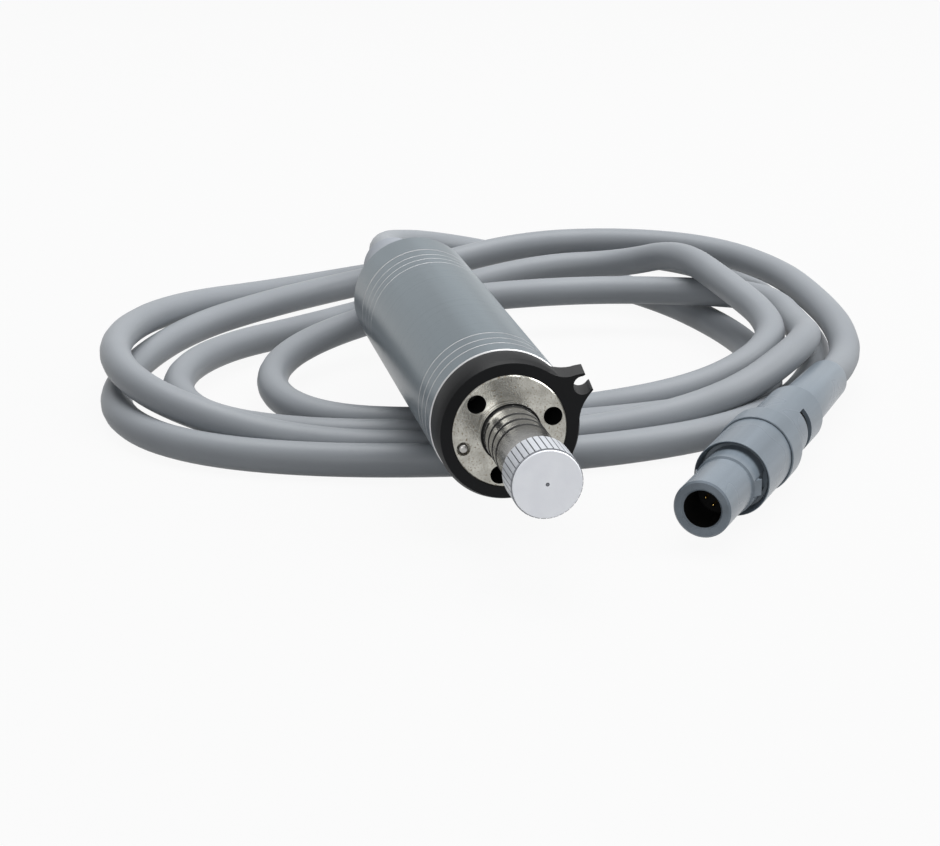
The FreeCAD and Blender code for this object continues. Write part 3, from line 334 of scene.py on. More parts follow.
FINISHES = {
    # Tube: its lengthwise bands are painted reflection and shade, darker and lighter strips along it
    "tube": finish("anodised_tube", (0.142, 0.181, 0.205), (0.07, 0.091, 0.106), 0.15, (0.26, 0.36),
                   grain=6000.0, turning=9000.0, bump=0.04, painted_reflections=(90.0, 0.0)),
    "clip": finish("black_clip_plastic", (0.006, 0.0063, 0.0068), (0.009, 0.0095, 0.0105), 0.0, (0.4, 0.5),
                   grain=5000.0, bump=0.15, specular=0.12),
    "flange": finish("worn_flange_steel", (0.56, 0.555, 0.51), (0.30, 0.29, 0.26), 0.85, (0.12, 0.3),
                     grain=3500.0, cloud=420.0, specks=(3000.0, 0.55, (0.13, 0.085, 0.035)), bump=0.2),
    "screw": finish("dark_screw_steel", (0.02, 0.02, 0.02), (0.012, 0.012, 0.012), 0.3, (0.5, 0.6)),
    "pin": finish("pin_steel", (0.50, 0.495, 0.48), (0.36, 0.355, 0.34), 0.9, (0.25, 0.35)),
    "o_ring": finish("o_ring_rubber", (0.008, 0.008, 0.008), (0.014, 0.014, 0.014), 0.0, (0.45, 0.6),
                     specular=0.2),
    "spring_steel": finish("polished_spring_steel", (0.6, 0.6, 0.6), (0.45, 0.45, 0.45), 1.0, (0.12, 0.2)),
    "cap": finish("bright_cap_aluminium", (0.56, 0.58, 0.62), (0.48, 0.50, 0.53), 0.35, (0.35, 0.45),
                  grain=6000.0, cloud=500.0, bump=0.08),
    "carrier": finish("carrier_aluminium", (0.5, 0.5, 0.52), (0.42, 0.42, 0.44), 0.9, (0.3, 0.4),
                      turning=9000.0),
    "bearing": finish("bearing_steel", (0.6, 0.6, 0.62), (0.5, 0.5, 0.52), 1.0, (0.12, 0.2)),
    "cage": finish("cage_resin", (0.32, 0.2, 0.1), (0.26, 0.16, 0.08), 0.0, (0.45, 0.55)),
    "shaft": finish("ground_shaft_steel", (0.55, 0.55, 0.56), (0.45, 0.45, 0.46), 1.0, (0.18, 0.28),
                    turning=12000.0),
    "magnet": finish("magnet_nickel", (0.42, 0.42, 0.42), (0.34, 0.34, 0.35), 0.95, (0.25, 0.35)),
    "band": finish("band_steel", (0.5, 0.5, 0.5), (0.42, 0.42, 0.43), 1.0, (0.2, 0.3), turning=9000.0),
    "balance": finish("balance_brass", (0.6, 0.44, 0.18), (0.5, 0.36, 0.14), 1.0, (0.25, 0.35),
                      turning=9000.0),
    "dog": finish("dog_steel", (0.4, 0.4, 0.4), (0.32, 0.32, 0.33), 1.0, (0.25, 0.35)),
    "lamination": finish("stacked_iron", (0.16, 0.16, 0.17), (0.08, 0.08, 0.09), 0.7, (0.45, 0.6),
                         turning=3000.0, bump=0.5),
    "copper": finish("winding_copper", (0.55, 0.22, 0.09), (0.38, 0.14, 0.05), 0.7, (0.3, 0.45),
                     turning=4000.0, bump=0.6),
    "board": finish("board_laminate", (0.02, 0.14, 0.06), (0.015, 0.1, 0.04), 0.0, (0.3, 0.4)),
    "chip": finish("chip_resin", (0.02, 0.02, 0.02), (0.03, 0.03, 0.03), 0.0, (0.35, 0.45)),
    "wire": finish("wire_jacket", (0.4, 0.05, 0.03), (0.3, 0.04, 0.02), 0.0, (0.35, 0.45)),
    "boot": finish("boot_silicone", (0.28, 0.30, 0.335), (0.24, 0.26, 0.29), 0.0, (0.42, 0.52),
                   specular=0.3),
    "cable": finish("cable_silicone", (0.255, 0.272, 0.291), (0.222, 0.237, 0.255), 0.0, (0.4, 0.5),
                    grain=5000.0, cloud=45.0, bump=0.06, specular=0.22),
    # Plug: its lengthwise bands are painted reflections of dark surroundings
    "plug": finish("plug_plastic", (0.195, 0.232, 0.27), (0.11, 0.133, 0.156), 0.0, (0.24, 0.32),
                   grain=5000.0, bump=0.05, specular=0.4, painted_reflections=(160.0, PLUG_TURN)),
    "insulator": finish("insulator_resin", (0.004, 0.004, 0.004), (0.008, 0.008, 0.008), 0.0, (0.45, 0.55),
                        specular=0.15),
    "contact": finish("contact_gold", (0.75, 0.5, 0.16), (0.62, 0.4, 0.12), 1.0, (0.15, 0.25)),
}
BRIGHT_EDGE = finish("bright_cut_edge", (0.66, 0.66, 0.67), (0.56, 0.56, 0.57), 0.5, (0.3, 0.4),
                     turning=14000.0, bump=0.08)
NOSE_STEEL = finish("polished_nose_steel", (0.62, 0.62, 0.61), (0.30, 0.30, 0.295), 0.9, (0.1, 0.2),
                    turning=16000.0, bump=0.15)
# Painted shade: near-black colour put in bores, grooves and slots where shade falls
BORE_SHADE = finish("painted_bore_shade", (0.012, 0.012, 0.012), (0.007, 0.007, 0.007), 0.2, (0.5, 0.6),
                   specular=0.1)
# Painted light: a lighter copy of the cap's aluminium for its front face, standing in for light on the face
CAP_FACE_PAINTED_LIGHT = finish("cap_face_painted_light", (0.93, 0.95, 0.99), (0.86, 0.88, 0.93), 0.15, (0.4, 0.5),
                  grain=6000.0, cloud=300.0, bump=0.06)
CAP_GROOVE = finish("cap_groove_shade", (0.24, 0.25, 0.27), (0.19, 0.20, 0.22), 0.35, (0.45, 0.55))


def dress_nodes():
    for part in frame["record"]["subparts"]:
        mesh = frame["nodes"][part["node"]].data
        mesh.materials.clear()
        mesh.materials.append(FINISHES[part["material_slot"]])


dress_nodes()
cable.data.materials.append(FINISHES["cable"])


# Building helpers; sizes in millimetres

MERGE = 0.0005
CUT_OVER = 1.0


def finished(name, bm, slot, body, extra=(), place=None, bevel=0.06, angle=32.0):
    """Turn a bmesh in millimetres into a piece on a body, in place and in metres."""
    bmesh.ops.remove_doubles(bm, verts=bm.verts[:], dist=MERGE)
    bmesh.ops.recalc_face_normals(bm, faces=bm.faces[:])
    if place is not None:
        bmesh.ops.transform(bm, matrix=place, verts=bm.verts[:])
    bmesh.ops.scale(bm, vec=(MM, MM, MM), verts=bm.verts[:])
    for face in bm.faces:
        face.smooth = True
    mesh = bpy.data.meshes.new(name)
    bm.to_mesh(mesh)
    bm.free()
    mesh.materials.append(FINISHES[slot])
    for material in extra:
        mesh.materials.append(material)
    piece = bpy.data.objects.new(name, mesh)
    scene.collection.objects.link(piece)
    if bevel:
        edge = piece.modifiers.new("edges", "BEVEL")
        edge.width = bevel * MM
        edge.segments = 2
        edge.limit_method = "ANGLE"
        edge.angle_limit = math.radians(angle)
        edge.harden_normals = True
    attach(piece, body)
    return piece


def turned(corners, steps=128):
    """Closed outline of (radius, y) corners spun about the Y axis."""
    bm = bmesh.new()
    dots = [bm.verts.new((r, y, 0.0)) for r, y in corners]
    lines = [bm.edges.new((a, b)) for a, b in zip(dots, dots[1:] + dots[:1])]
    bmesh.ops.spin(bm, geom=dots + lines, cent=(0, 0, 0), axis=(0, 1, 0), angle=2 * math.pi,
                   steps=steps, use_merge=True)
    bmesh.ops.remove_doubles(bm, verts=bm.verts[:], dist=MERGE)
    bmesh.ops.recalc_face_normals(bm, faces=bm.faces[:])
    return bm


def around(radius, angle):
    turn = math.radians(angle)
    return radius * math.cos(turn), radius * math.sin(turn)


def rod_tool(radius, start, end, x=0.0, z=0.0, steps=48):
    """Round rod along Y, to cut with or to add."""
    bm = bmesh.new()
    bmesh.ops.create_cone(bm, cap_ends=True, segments=steps, radius1=radius, radius2=radius,
                          depth=end - start)
    turn = Matrix.Rotation(math.radians(-90), 4, "X")
    bmesh.ops.transform(bm, matrix=Matrix.Translation((x, (start + end) / 2, z)) @ turn, verts=bm.verts[:])
    return bm


def block_tool(low, high, roll=0.0):
    """Rectangular block between two corners, rolled about the Y axis from +X towards +Z."""
    bm = bmesh.new()
    bmesh.ops.create_cube(bm, size=1.0)
    size = Vector(high) - Vector(low)
    middle = (Vector(high) + Vector(low)) / 2
    bmesh.ops.scale(bm, vec=size, verts=bm.verts[:])
    bmesh.ops.translate(bm, vec=middle, verts=bm.verts[:])
    turn = Matrix.Rotation(math.radians(-roll), 3, "Y")
    bmesh.ops.rotate(bm, cent=(0, 0, 0), matrix=turn, verts=bm.verts[:])
    return bm


def prism(outline, corners, start, end):
    """Closed outline of (x, z) points made a solid along Y; smooth but for the numbered corners."""
    curve = bpy.data.curves.new("outline", "CURVE")
    curve.dimensions = "2D"
    curve.fill_mode = "BOTH"
    curve.extrude = (end - start) / 2
    curve.resolution_u = 8
    spline = curve.splines.new("BEZIER")
    spline.bezier_points.add(len(outline) - 1)
    for number, (x, z) in enumerate(outline):
        point = spline.bezier_points[number]
        point.co = (x, z, 0.0)
        point.handle_left_type = "VECTOR" if number in corners else "AUTO"
        point.handle_right_type = point.handle_left_type
    spline.use_cyclic_u = True
    holder = bpy.data.objects.new("outline", curve)
    scene.collection.objects.link(holder)
    bpy.context.view_layer.update()
    shape = holder.evaluated_get(bpy.context.evaluated_depsgraph_get())
    mesh = bpy.data.meshes.new_from_object(shape)
    bpy.data.objects.remove(holder)
    bm = bmesh.new()
    bm.from_mesh(mesh)
    bmesh.ops.remove_doubles(bm, verts=bm.verts[:], dist=MERGE)
    turn = Matrix.Translation((0, (start + end) / 2, 0)) @ Matrix.Rotation(math.radians(90), 4, "X")
    bmesh.ops.transform(bm, matrix=turn, verts=bm.verts[:])
    bmesh.ops.recalc_face_normals(bm, faces=bm.faces[:])
    return bm


def loose(name, bm):
    mesh = bpy.data.meshes.new(name)
    bm.to_mesh(mesh)
    bm.free()
    piece = bpy.data.objects.new(name, mesh)
    scene.collection.objects.link(piece)
    return piece


def carved(base, tools):
    """Cut or join bmeshes: tools is a list of (bmesh, operation)."""
    body = loose("blank", base)
    for tool, operation in tools:
        cutter = loose("tool", tool)
        step = body.modifiers.new("step", "BOOLEAN")
        step.object = cutter
        step.operation = operation
        step.solver = "EXACT"
        bpy.context.view_layer.update()
        shape = body.evaluated_get(bpy.context.evaluated_depsgraph_get())
        mesh = bpy.data.meshes.new_from_object(shape)
        body.modifiers.clear()
        body.data = mesh
        bpy.data.objects.remove(cutter)
    result = bmesh.new()
    result.from_mesh(body.data)
    bpy.data.objects.remove(body)
    return result


def paint(bm, index, wanted):
    """Give one of the piece's further materials to the faces that a test of radius and middle picks."""
    for face in bm.faces:
        middle = face.calc_center_median()
        if wanted(math.hypot(middle.x, middle.z), middle):
            face.material_index = index


def mark_sharp(piece, angle):
    """Keep edges steeper than the angle crisp in the shading."""
    bm = bmesh.new()
    bm.from_mesh(piece.data)
    for edge in bm.edges:
        if len(edge.link_faces) == 2:
            edge.smooth = edge.calc_face_angle(0.0) < math.radians(angle)
    bm.to_mesh(piece.data)
    bm.free()


# Motor housing; values with FACES in their names limit the faces that get a further material

SLEEVE_R = 11.5
SLEEVE_BORE_R = 10.7
SLEEVE_START = 5.9
SLEEVE_END = 80.9
SLEEVE_FRONT_BEVEL = 0.22
SLEEVE_REAR_BEVEL = 0.35
SLEEVE_STEPS = 192
SLEEVE_CUT_FACES_R = (11.2, 11.49)
FRONT_GROOVES = (9.6, 12.4, 15.4)
FRONT_GROOVE_WIDTH = 0.25
FRONT_GROOVE_DEPTH = 0.08
REAR_GROOVES = (61.4, 64.3, 67.2)
REAR_GROOVE_WIDTH = 0.2
REAR_GROOVE_DEPTH = 0.06
BRIGHT_GROOVE = 71.0
BRIGHT_GROOVE_WIDTH = 0.4
BRIGHT_GROOVE_DEPTH = 0.12


def add_sleeve():
    grooves = [(y, FRONT_GROOVE_WIDTH, FRONT_GROOVE_DEPTH) for y in FRONT_GROOVES]
    grooves += [(y, REAR_GROOVE_WIDTH, REAR_GROOVE_DEPTH) for y in REAR_GROOVES]
    grooves.append((BRIGHT_GROOVE, BRIGHT_GROOVE_WIDTH, BRIGHT_GROOVE_DEPTH))
    side = [(SLEEVE_BORE_R, SLEEVE_START), (SLEEVE_R - SLEEVE_FRONT_BEVEL, SLEEVE_START),
            (SLEEVE_R, SLEEVE_START + SLEEVE_FRONT_BEVEL)]
    for place, width, depth in sorted(grooves):
        front = place - width / 2
        rear = place + width / 2
        floor = SLEEVE_R - depth
        side += [(SLEEVE_R, front), (floor, front), (floor, rear), (SLEEVE_R, rear)]
    side += [(SLEEVE_R, SLEEVE_END - SLEEVE_REAR_BEVEL), (SLEEVE_R - SLEEVE_REAR_BEVEL, SLEEVE_END),
             (SLEEVE_BORE_R, SLEEVE_END)]
    bm = turned(side, SLEEVE_STEPS)
    inner, outer = SLEEVE_CUT_FACES_R
    paint(bm, 1, lambda radius, middle: inner < radius < outer)
    piece = finished("anodised_sleeve", bm, "tube", "housing", (BRIGHT_EDGE,), bevel=0.03)
    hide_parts("motor_sleeve")


NOSE_R = 4.5
NOSE_TIP_R = 4.3
NOSE_TIP = -22.0
NOSE_TIP_BEVEL = 0.2
NOSE_STEP = -17.9
NOSE_BORE_R = 3.3
NOSE_LIP_R = 2.9
NOSE_LIP_END = -19.8
O_RING_PLACES = (-4.8, -7.4, -10.0)
O_RING_SPINE_R = 4.24
O_RING_SECTION_R = 0.35
O_RING_HALF_GROOVE = 0.42
O_RING_FLOOR_R = 3.85
LOCK_GROOVE_R = 4.03
LOCK_GROOVE_START = -2.62
LOCK_GROOVE_END = -1.78
COLLAR_R = 4.85
COLLAR_START = -0.9
COLLAR_LINE_R = 4.7
COLLAR_LINE_START = -0.55
COLLAR_LINE_END = -0.38
FLANGE_R = 9.07
FLANGE_BEVEL = 0.2
SPIGOT_R = 10.68
SPIGOT_END = 12.0
FLANGE_STEPS = 160
SCREW_PLACES = [around(7.1, angle) for angle in (17.0, 138.0, 257.0)]
SCREW_HOLE_R = 1.5
SCREW_HOLE_DEPTH = 7.6
PIN_PLACE = around(7.7, 197.5)
PIN_HOLE_R = 1.1
PIN_HOLE_DEPTH = 1.4
PIN_SEAT_R = 0.77
PIN_SEAT_DEPTH = 4.52
NOSE_FACES_R = 5.0
NOSE_FACES_END = -0.02
BORE_FACES_START = 0.05
BORE_FACES_R = 1.53
GROOVE_FACES_R = 4.1
COLLAR_LINE_FACES_R = (4.6, 4.8)


def flange_side():
    """Half section of flange and nose, as (radius, y) corners from the tip to the rear and back inside."""
    side = [(NOSE_TIP_R - NOSE_TIP_BEVEL, NOSE_TIP), (NOSE_TIP_R, NOSE_TIP + NOSE_TIP_BEVEL),
            (NOSE_TIP_R, NOSE_STEP), (NOSE_R, NOSE_STEP)]
    for place in sorted(O_RING_PLACES):
        front = place - O_RING_HALF_GROOVE
        rear = place + O_RING_HALF_GROOVE
        side += [(NOSE_R, front), (O_RING_FLOOR_R, front), (O_RING_FLOOR_R, rear), (NOSE_R, rear)]
    side += [(NOSE_R, LOCK_GROOVE_START), (LOCK_GROOVE_R, LOCK_GROOVE_START),
             (LOCK_GROOVE_R, LOCK_GROOVE_END), (NOSE_R, LOCK_GROOVE_END)]
    side += [(NOSE_R, COLLAR_START), (COLLAR_R, COLLAR_START), (COLLAR_R, COLLAR_LINE_START),
             (COLLAR_LINE_R, COLLAR_LINE_START), (COLLAR_LINE_R, COLLAR_LINE_END),
             (COLLAR_R, COLLAR_LINE_END), (COLLAR_R, 0.0)]
    side += [(FLANGE_R - FLANGE_BEVEL, 0.0), (FLANGE_R, FLANGE_BEVEL), (FLANGE_R, SLEEVE_START),
             (SPIGOT_R, SLEEVE_START), (SPIGOT_R, SPIGOT_END)]
    return side + [(NOSE_BORE_R, SPIGOT_END), (NOSE_BORE_R, NOSE_LIP_END), (NOSE_LIP_R, NOSE_LIP_END),
                   (NOSE_LIP_R, NOSE_TIP)]


def painted_shade_place(radius, middle):
    """True where shade is painted: in the screw bores, the ring grooves and the collar's line."""
    off_screw = min(math.hypot(middle.x - x, middle.z - z) for x, z in SCREW_PLACES)
    inner, outer = COLLAR_LINE_FACES_R
    groove = radius < GROOVE_FACES_R or inner < radius < outer
    bore = off_screw < BORE_FACES_R and middle.y > BORE_FACES_START
    return bore or middle.y < NOSE_FACES_END and groove


def add_flange():
    tools = [(rod_tool(SCREW_HOLE_R, -CUT_OVER, SCREW_HOLE_DEPTH, x, z), "DIFFERENCE")
             for x, z in SCREW_PLACES]
    tools.append((rod_tool(PIN_HOLE_R, -CUT_OVER, PIN_HOLE_DEPTH, *PIN_PLACE, steps=40), "DIFFERENCE"))
    tools.append((rod_tool(PIN_SEAT_R, CUT_OVER, PIN_SEAT_DEPTH, *PIN_PLACE, steps=32), "DIFFERENCE"))
    bm = carved(turned(flange_side(), FLANGE_STEPS), tools)
    paint(bm, 1, lambda radius, middle: middle.y < NOSE_FACES_END and radius < NOSE_FACES_R)
    # Painted shade in the screw bores, ring grooves and collar line
    paint(bm, 2, painted_shade_place)
    piece = finished("flange_and_nose", bm, "flange", "housing", (NOSE_STEEL, BORE_SHADE), bevel=0.05)
    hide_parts("nose_flange")


def ring_of(ring_radius, section_radius, place, steps=96, section_steps=16):
    """Round-section ring about the Y axis."""
    bm = bmesh.new()
    bmesh.ops.create_circle(bm, cap_ends=False, segments=section_steps, radius=section_radius)
    bmesh.ops.translate(bm, vec=(ring_radius, place, 0.0), verts=bm.verts[:])
    bmesh.ops.spin(bm, geom=bm.verts[:] + bm.edges[:], cent=(0, 0, 0), axis=(0, 1, 0), angle=2 * math.pi,
                   steps=steps, use_merge=True)
    return bm


def add_o_rings():
    for number, place in enumerate(O_RING_PLACES):
        ring = ring_of(O_RING_SPINE_R, O_RING_SECTION_R, place)
        piece = finished("nose_o_ring_%d" % (number + 1), ring, "o_ring", "housing", bevel=0)
        if number == 0:
            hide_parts("nose_o_rings")


LOCK_SPRING_R = 4.52
LOCK_SPRING_INNER_R = 4.05
LOCK_SPRING_START = -2.6
LOCK_SPRING_END = -1.8
LOCK_HALF_GAP = 1.9
LOCK_GAP_ANGLE = 172.0


def add_lock_spring():
    band = turned([(LOCK_SPRING_INNER_R, LOCK_SPRING_START), (LOCK_SPRING_R, LOCK_SPRING_START),
                   (LOCK_SPRING_R, LOCK_SPRING_END), (LOCK_SPRING_INNER_R, LOCK_SPRING_END)])
    gap = block_tool((0, LOCK_SPRING_START - CUT_OVER, -LOCK_HALF_GAP),
                     (2 * LOCK_SPRING_R, LOCK_SPRING_END + CUT_OVER, LOCK_HALF_GAP), LOCK_GAP_ANGLE)
    bm = carved(band, [(gap, "DIFFERENCE")])
    piece = finished("nose_lock_ring", bm, "spring_steel", "housing", bevel=0.04)
    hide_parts("nose_lock_spring")


CAP_RIBS = 36
CAP_RIB_STEPS = 10
CAP_R = 5.4
CAP_NECK_R = 5.22
CAP_FACE_R = 5.1
CAP_FRONT = -24.0
CAP_FACE_BEVEL_END = -23.86
CAP_NECK_END = -23.7
CAP_RIB_START = -23.62
CAP_REAR = -18.0
CAP_REAR_BEVEL = 0.12
CAP_BORE_R = 4.36
CAP_BORE_END = -22.3
CAP_GROOVE_DEPTH = 0.2
CAP_GROOVED_R = 5.25
CAP_GROOVE_LINE = 0.05
CAP_GROOVE_SHADE = 0.1
CAP_RIB_FACES_R = 5.2
CAP_NECK_FACES_R = 5.15
CAP_NECK_FACES_END = -23.6
CAP_FRONT_FACES_END = -23.9
DIMPLE_R = 0.3
DIMPLE_PLACE = -24.05
DIMPLE_FACES_R = 0.4
DIMPLE_FACES_END = -23.0


def off_groove(x, z):
    """How far round the cap a place lies from the nearest groove, in rib widths."""
    place = math.degrees(math.atan2(z, x)) * CAP_RIBS / 360.0
    return abs(place - round(place))


def cap_shade(radius, middle):
    """True between the ribs, on the neck behind the face and in the centre mark."""
    ribbed = radius > CAP_RIB_FACES_R and middle.y > CAP_NECK_FACES_END
    between = ribbed and off_groove(middle.x, middle.z) < CAP_GROOVE_SHADE
    neck = radius > CAP_NECK_FACES_R and CAP_FRONT_FACES_END < middle.y < CAP_NECK_FACES_END
    mark = radius < DIMPLE_FACES_R and middle.y < DIMPLE_FACES_END
    return between or neck or mark


def add_cap():
    bm = turned([(0.0, CAP_FRONT), (CAP_FACE_R, CAP_FRONT), (CAP_NECK_R, CAP_FACE_BEVEL_END),
                 (CAP_NECK_R, CAP_NECK_END), (CAP_R, CAP_RIB_START), (CAP_R, CAP_REAR - CAP_REAR_BEVEL),
                 (CAP_R - CAP_REAR_BEVEL, CAP_REAR), (CAP_BORE_R, CAP_REAR), (CAP_BORE_R, CAP_BORE_END),
                 (0.0, CAP_BORE_END)], CAP_RIBS * CAP_RIB_STEPS)
    for vertex in bm.verts:
        radius = math.hypot(vertex.co.x, vertex.co.z)
        if radius > CAP_GROOVED_R and off_groove(vertex.co.x, vertex.co.z) < CAP_GROOVE_LINE:
            vertex.co.x *= (radius - CAP_GROOVE_DEPTH) / radius
            vertex.co.z *= (radius - CAP_GROOVE_DEPTH) / radius
    dimple = bmesh.new()
    bmesh.ops.create_uvsphere(dimple, u_segments=24, v_segments=16, radius=DIMPLE_R)
    bmesh.ops.translate(dimple, vec=(0, DIMPLE_PLACE, 0), verts=dimple.verts[:])
    bm = carved(bm, [(dimple, "DIFFERENCE")])
    # Painted light: the front face takes the lighter copy of the cap's aluminium
    paint(bm, 2, lambda radius, middle: middle.y < CAP_FRONT_FACES_END)
    paint(bm, 1, cap_shade)
    piece = finished("nose_cap_ribbed", bm, "cap", "cap", (CAP_GROOVE, CAP_FACE_PAINTED_LIGHT), bevel=0)
    mark_sharp(piece, angle=28.0)
    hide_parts("nose_cap")


CLIP_FRONT = 0.17
CLIP_REAR = 5.8
CLIP_BORE_R = 9.13
CLIP_SIDE = ((CLIP_BORE_R, CLIP_FRONT), (10.94, CLIP_FRONT), (11.4, 1.27), (11.35, CLIP_REAR),
             (CLIP_BORE_R, CLIP_REAR))
CLIP_RIB_R = 8.73
CLIP_RIB_START = 2.5
CLIP_RIB_END = 4.1
CLIP_STEPS = 160
HOOK_ANGLE = 30.0
HOOK_LOWER_SIDE = ((-33.5, 10.9), (-26.5, 11.04), (-19.5, 11.37), (-15.0, 11.85),
                   (-11.3, 12.55), (-8.5, 13.4), (-6.2, 14.43))
HOOK_UPPER_SIDE = ((6.2, 14.59), (8.5, 13.6), (11.5, 12.35), (15.3, 11.6), (20.5, 11.12), (28.5, 10.9))
HOOK_INNER_R = 10.04
HOOK_FRONT = 0.18
HOOK_REAR = 5.79
HOOK_LEAN = Vector((0.87, 0.0, -0.24))
HOOK_ROOT_R = 10.9
HOOK_LEAN_RUN = 2.1
SEAT_PLACE_R = 13.3
SEAT_R = 1.5
MOUTH_HALF = 1.3
MOUTH_END_R = 18.0
HOOK_CUT_END = 7.0


def leaned(bm, whole):
    """Shift a solid outwards along its depth: all of it, or only what stands off the ring."""
    for vertex in bm.verts:
        share = (vertex.co.y - CLIP_FRONT) / (CLIP_REAR - CLIP_FRONT)
        if not whole:
            off_ring = (math.hypot(vertex.co.x, vertex.co.z) - HOOK_ROOT_R) / HOOK_LEAN_RUN
            share *= min(1.0, max(0.0, off_ring))
        vertex.co += HOOK_LEAN * share
    return bm


def hook_solid():
    """Body of the open hook: its outline is the lower side, the upper side and a point inside the ring."""
    sides = HOOK_LOWER_SIDE + HOOK_UPPER_SIDE
    outline = [around(radius, HOOK_ANGLE + step) for step, radius in sides]
    outline.append(around(HOOK_INNER_R, HOOK_ANGLE))
    upper = len(HOOK_LOWER_SIDE)
    inside = len(sides)
    return prism(outline, (0, upper - 1, upper, inside - 1, inside), HOOK_FRONT, HOOK_REAR)


def add_clip_ring():
    rib = [(CLIP_BORE_R, CLIP_RIB_END), (CLIP_RIB_R, CLIP_RIB_END), (CLIP_RIB_R, CLIP_RIB_START),
           (CLIP_BORE_R, CLIP_RIB_START)]
    ring = turned(list(CLIP_SIDE) + rib, CLIP_STEPS)
    seat = rod_tool(SEAT_R, -CUT_OVER, HOOK_CUT_END, *around(SEAT_PLACE_R, HOOK_ANGLE), steps=40)
    mouth = block_tool((SEAT_PLACE_R, -CUT_OVER, -MOUTH_HALF), (MOUTH_END_R, HOOK_CUT_END, MOUTH_HALF),
                       HOOK_ANGLE)
    bm = carved(ring, [(leaned(hook_solid(), False), "UNION"), (leaned(seat, True), "DIFFERENCE"),
                       (leaned(mouth, True), "DIFFERENCE")])
    piece = finished("clip_ring_black", bm, "clip", "clip", bevel=0.1, angle=40.0)
    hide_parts("clip_ring")


BOOT_THREAD_R = 6.58
BOOT_COLLAR_R = 8.0
BOOT_RIM_R = 9.0
BOOT_CAVITY_R = 4.65
BOOT_BORE_R = 2.92
BOOT_FRONT = 72.3
BOOT_COLLAR_END = 74.0
BOOT_RIM_START = 81.0
BOOT_CAVITY_END = 82.6
BOOT_END = 105.0
BOOT_TAPER = ((82.1, BOOT_RIM_R), (85.4, 8.3), (92.9, 7.0), (101.9, 5.9), (104.6, 5.8), (BOOT_END, 5.5))


def add_boot():
    side = [(BOOT_CAVITY_R, BOOT_FRONT), (BOOT_COLLAR_R, BOOT_FRONT), (BOOT_COLLAR_R, BOOT_COLLAR_END),
            (BOOT_THREAD_R, BOOT_COLLAR_END), (BOOT_THREAD_R, BOOT_RIM_START),
            (BOOT_RIM_R, BOOT_RIM_START)]
    side += [(radius, y) for y, radius in BOOT_TAPER]
    side += [(BOOT_BORE_R, BOOT_END), (BOOT_BORE_R, BOOT_CAVITY_END), (BOOT_CAVITY_R, BOOT_CAVITY_END)]
    piece = finished("cable_boot_soft", turned(side), "boot", "housing", bevel=0.3)
    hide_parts("cable_boot")


# Plug, on its own axis and then moved to where it lies

PLUG_FRONT = (27.7, -11.0, -10.95)
PLUG_PLACE = Matrix.Translation(PLUG_FRONT) @ Matrix.Rotation(-PLUG_TURN, 4, "Z")
BARREL_TIP_R = 4.65
BARREL_TIP_BEVEL = 0.3
BARREL_R = 5.0
BARREL_STEP = 11.1
BARREL_FLANGE_R = 5.95
BARREL_FLANGE_START = 30.6
BARREL_END = 32.6
BARREL_BORE_R = 3.25
BARREL_LIP_R = 3.03
BARREL_LIP_END = 5.4
BARREL_MOUTH_R = 3.33
WINDOW_LOW = (4.1, 11.4, -1.45)
WINDOW_HIGH = (9.4, 20.4, 1.45)
INNER_FACES_R = 3.4
INNER_FACES_START = 0.32
NUT_R = 5.35
NUT_BORE_R = 4.42
NUT_START = 33.2
NUT_END = 50.8
NUT_BEVEL = 0.5
NUT_SLOT_R = 4.65
NUT_SLOT_OUT_R = 5.6
NUT_SLOT_START = 40.9
NUT_SLOT_END = 43.2
SECTOR_START = -40.0
SECTOR_STEP = 14.333
SECTOR_STEPS = 6
SECTOR_R = 12.0
SECTOR_FRONT = 40.0
SECTOR_DEPTH = 4.0
SLOT_FACES = (41.0, 43.1)
SLOT_FACES_R = (4.5, 4.8)
RELEASE_R = 6.3
RELEASE_BORE_R = 5.7
RELEASE_START = 15.1
RELEASE_MOUTH_END = 16.0
RELEASE_END = 28.0
RELEASE_BEVEL = 0.13
RELEASE_RIB_R = 5.06
RELEASE_RIB_START = 20.8
RELEASE_RIB_END = 21.4
REAR_R = 6.65
REAR_START = 27.5
REAR_BORE_R = 6.36
REAR_FRONT_BEVEL = 0.15
REAR_SHOULDER_BEVEL = 0.3
REAR_STEM_R = 4.4
REAR_STEM_END = 42.0
REAR_THROAT_R = 3.4
REAR_SEAT_R = 5.97
RELIEF_R = 4.38
RELIEF_BORE_R = 2.92
RELIEF_START = 42.4
RELIEF_END = 73.0
RELIEF_TAPER = ((NUT_END, 4.35), (72.4, 3.8), (72.8, 3.7), (RELIEF_END, 3.4))


def add_barrel():
    slots = [(block_tool(WINDOW_LOW, WINDOW_HIGH, angle), "DIFFERENCE") for angle in (0.0, 180.0)]
    barrel = turned([(BARREL_MOUTH_R, 0.0), (BARREL_TIP_R - BARREL_TIP_BEVEL, 0.0),
                     (BARREL_TIP_R, BARREL_TIP_BEVEL), (BARREL_TIP_R, BARREL_STEP),
                     (BARREL_R, WINDOW_LOW[1]), (BARREL_R, BARREL_FLANGE_START),
                     (BARREL_FLANGE_R, BARREL_FLANGE_START), (BARREL_FLANGE_R, BARREL_END),
                     (BARREL_BORE_R, BARREL_END), (BARREL_BORE_R, BARREL_LIP_END),
                     (BARREL_LIP_R, BARREL_LIP_END), (BARREL_LIP_R, BARREL_TIP_BEVEL)])
    bm = carved(barrel, slots)
    paint(bm, 1, lambda radius, middle: radius < INNER_FACES_R and middle.y > INNER_FACES_START)
    return finished("barrel_shell", bm, "plug", "housing", (FINISHES["insulator"],), place=PLUG_PLACE,
                    bevel=0.08)


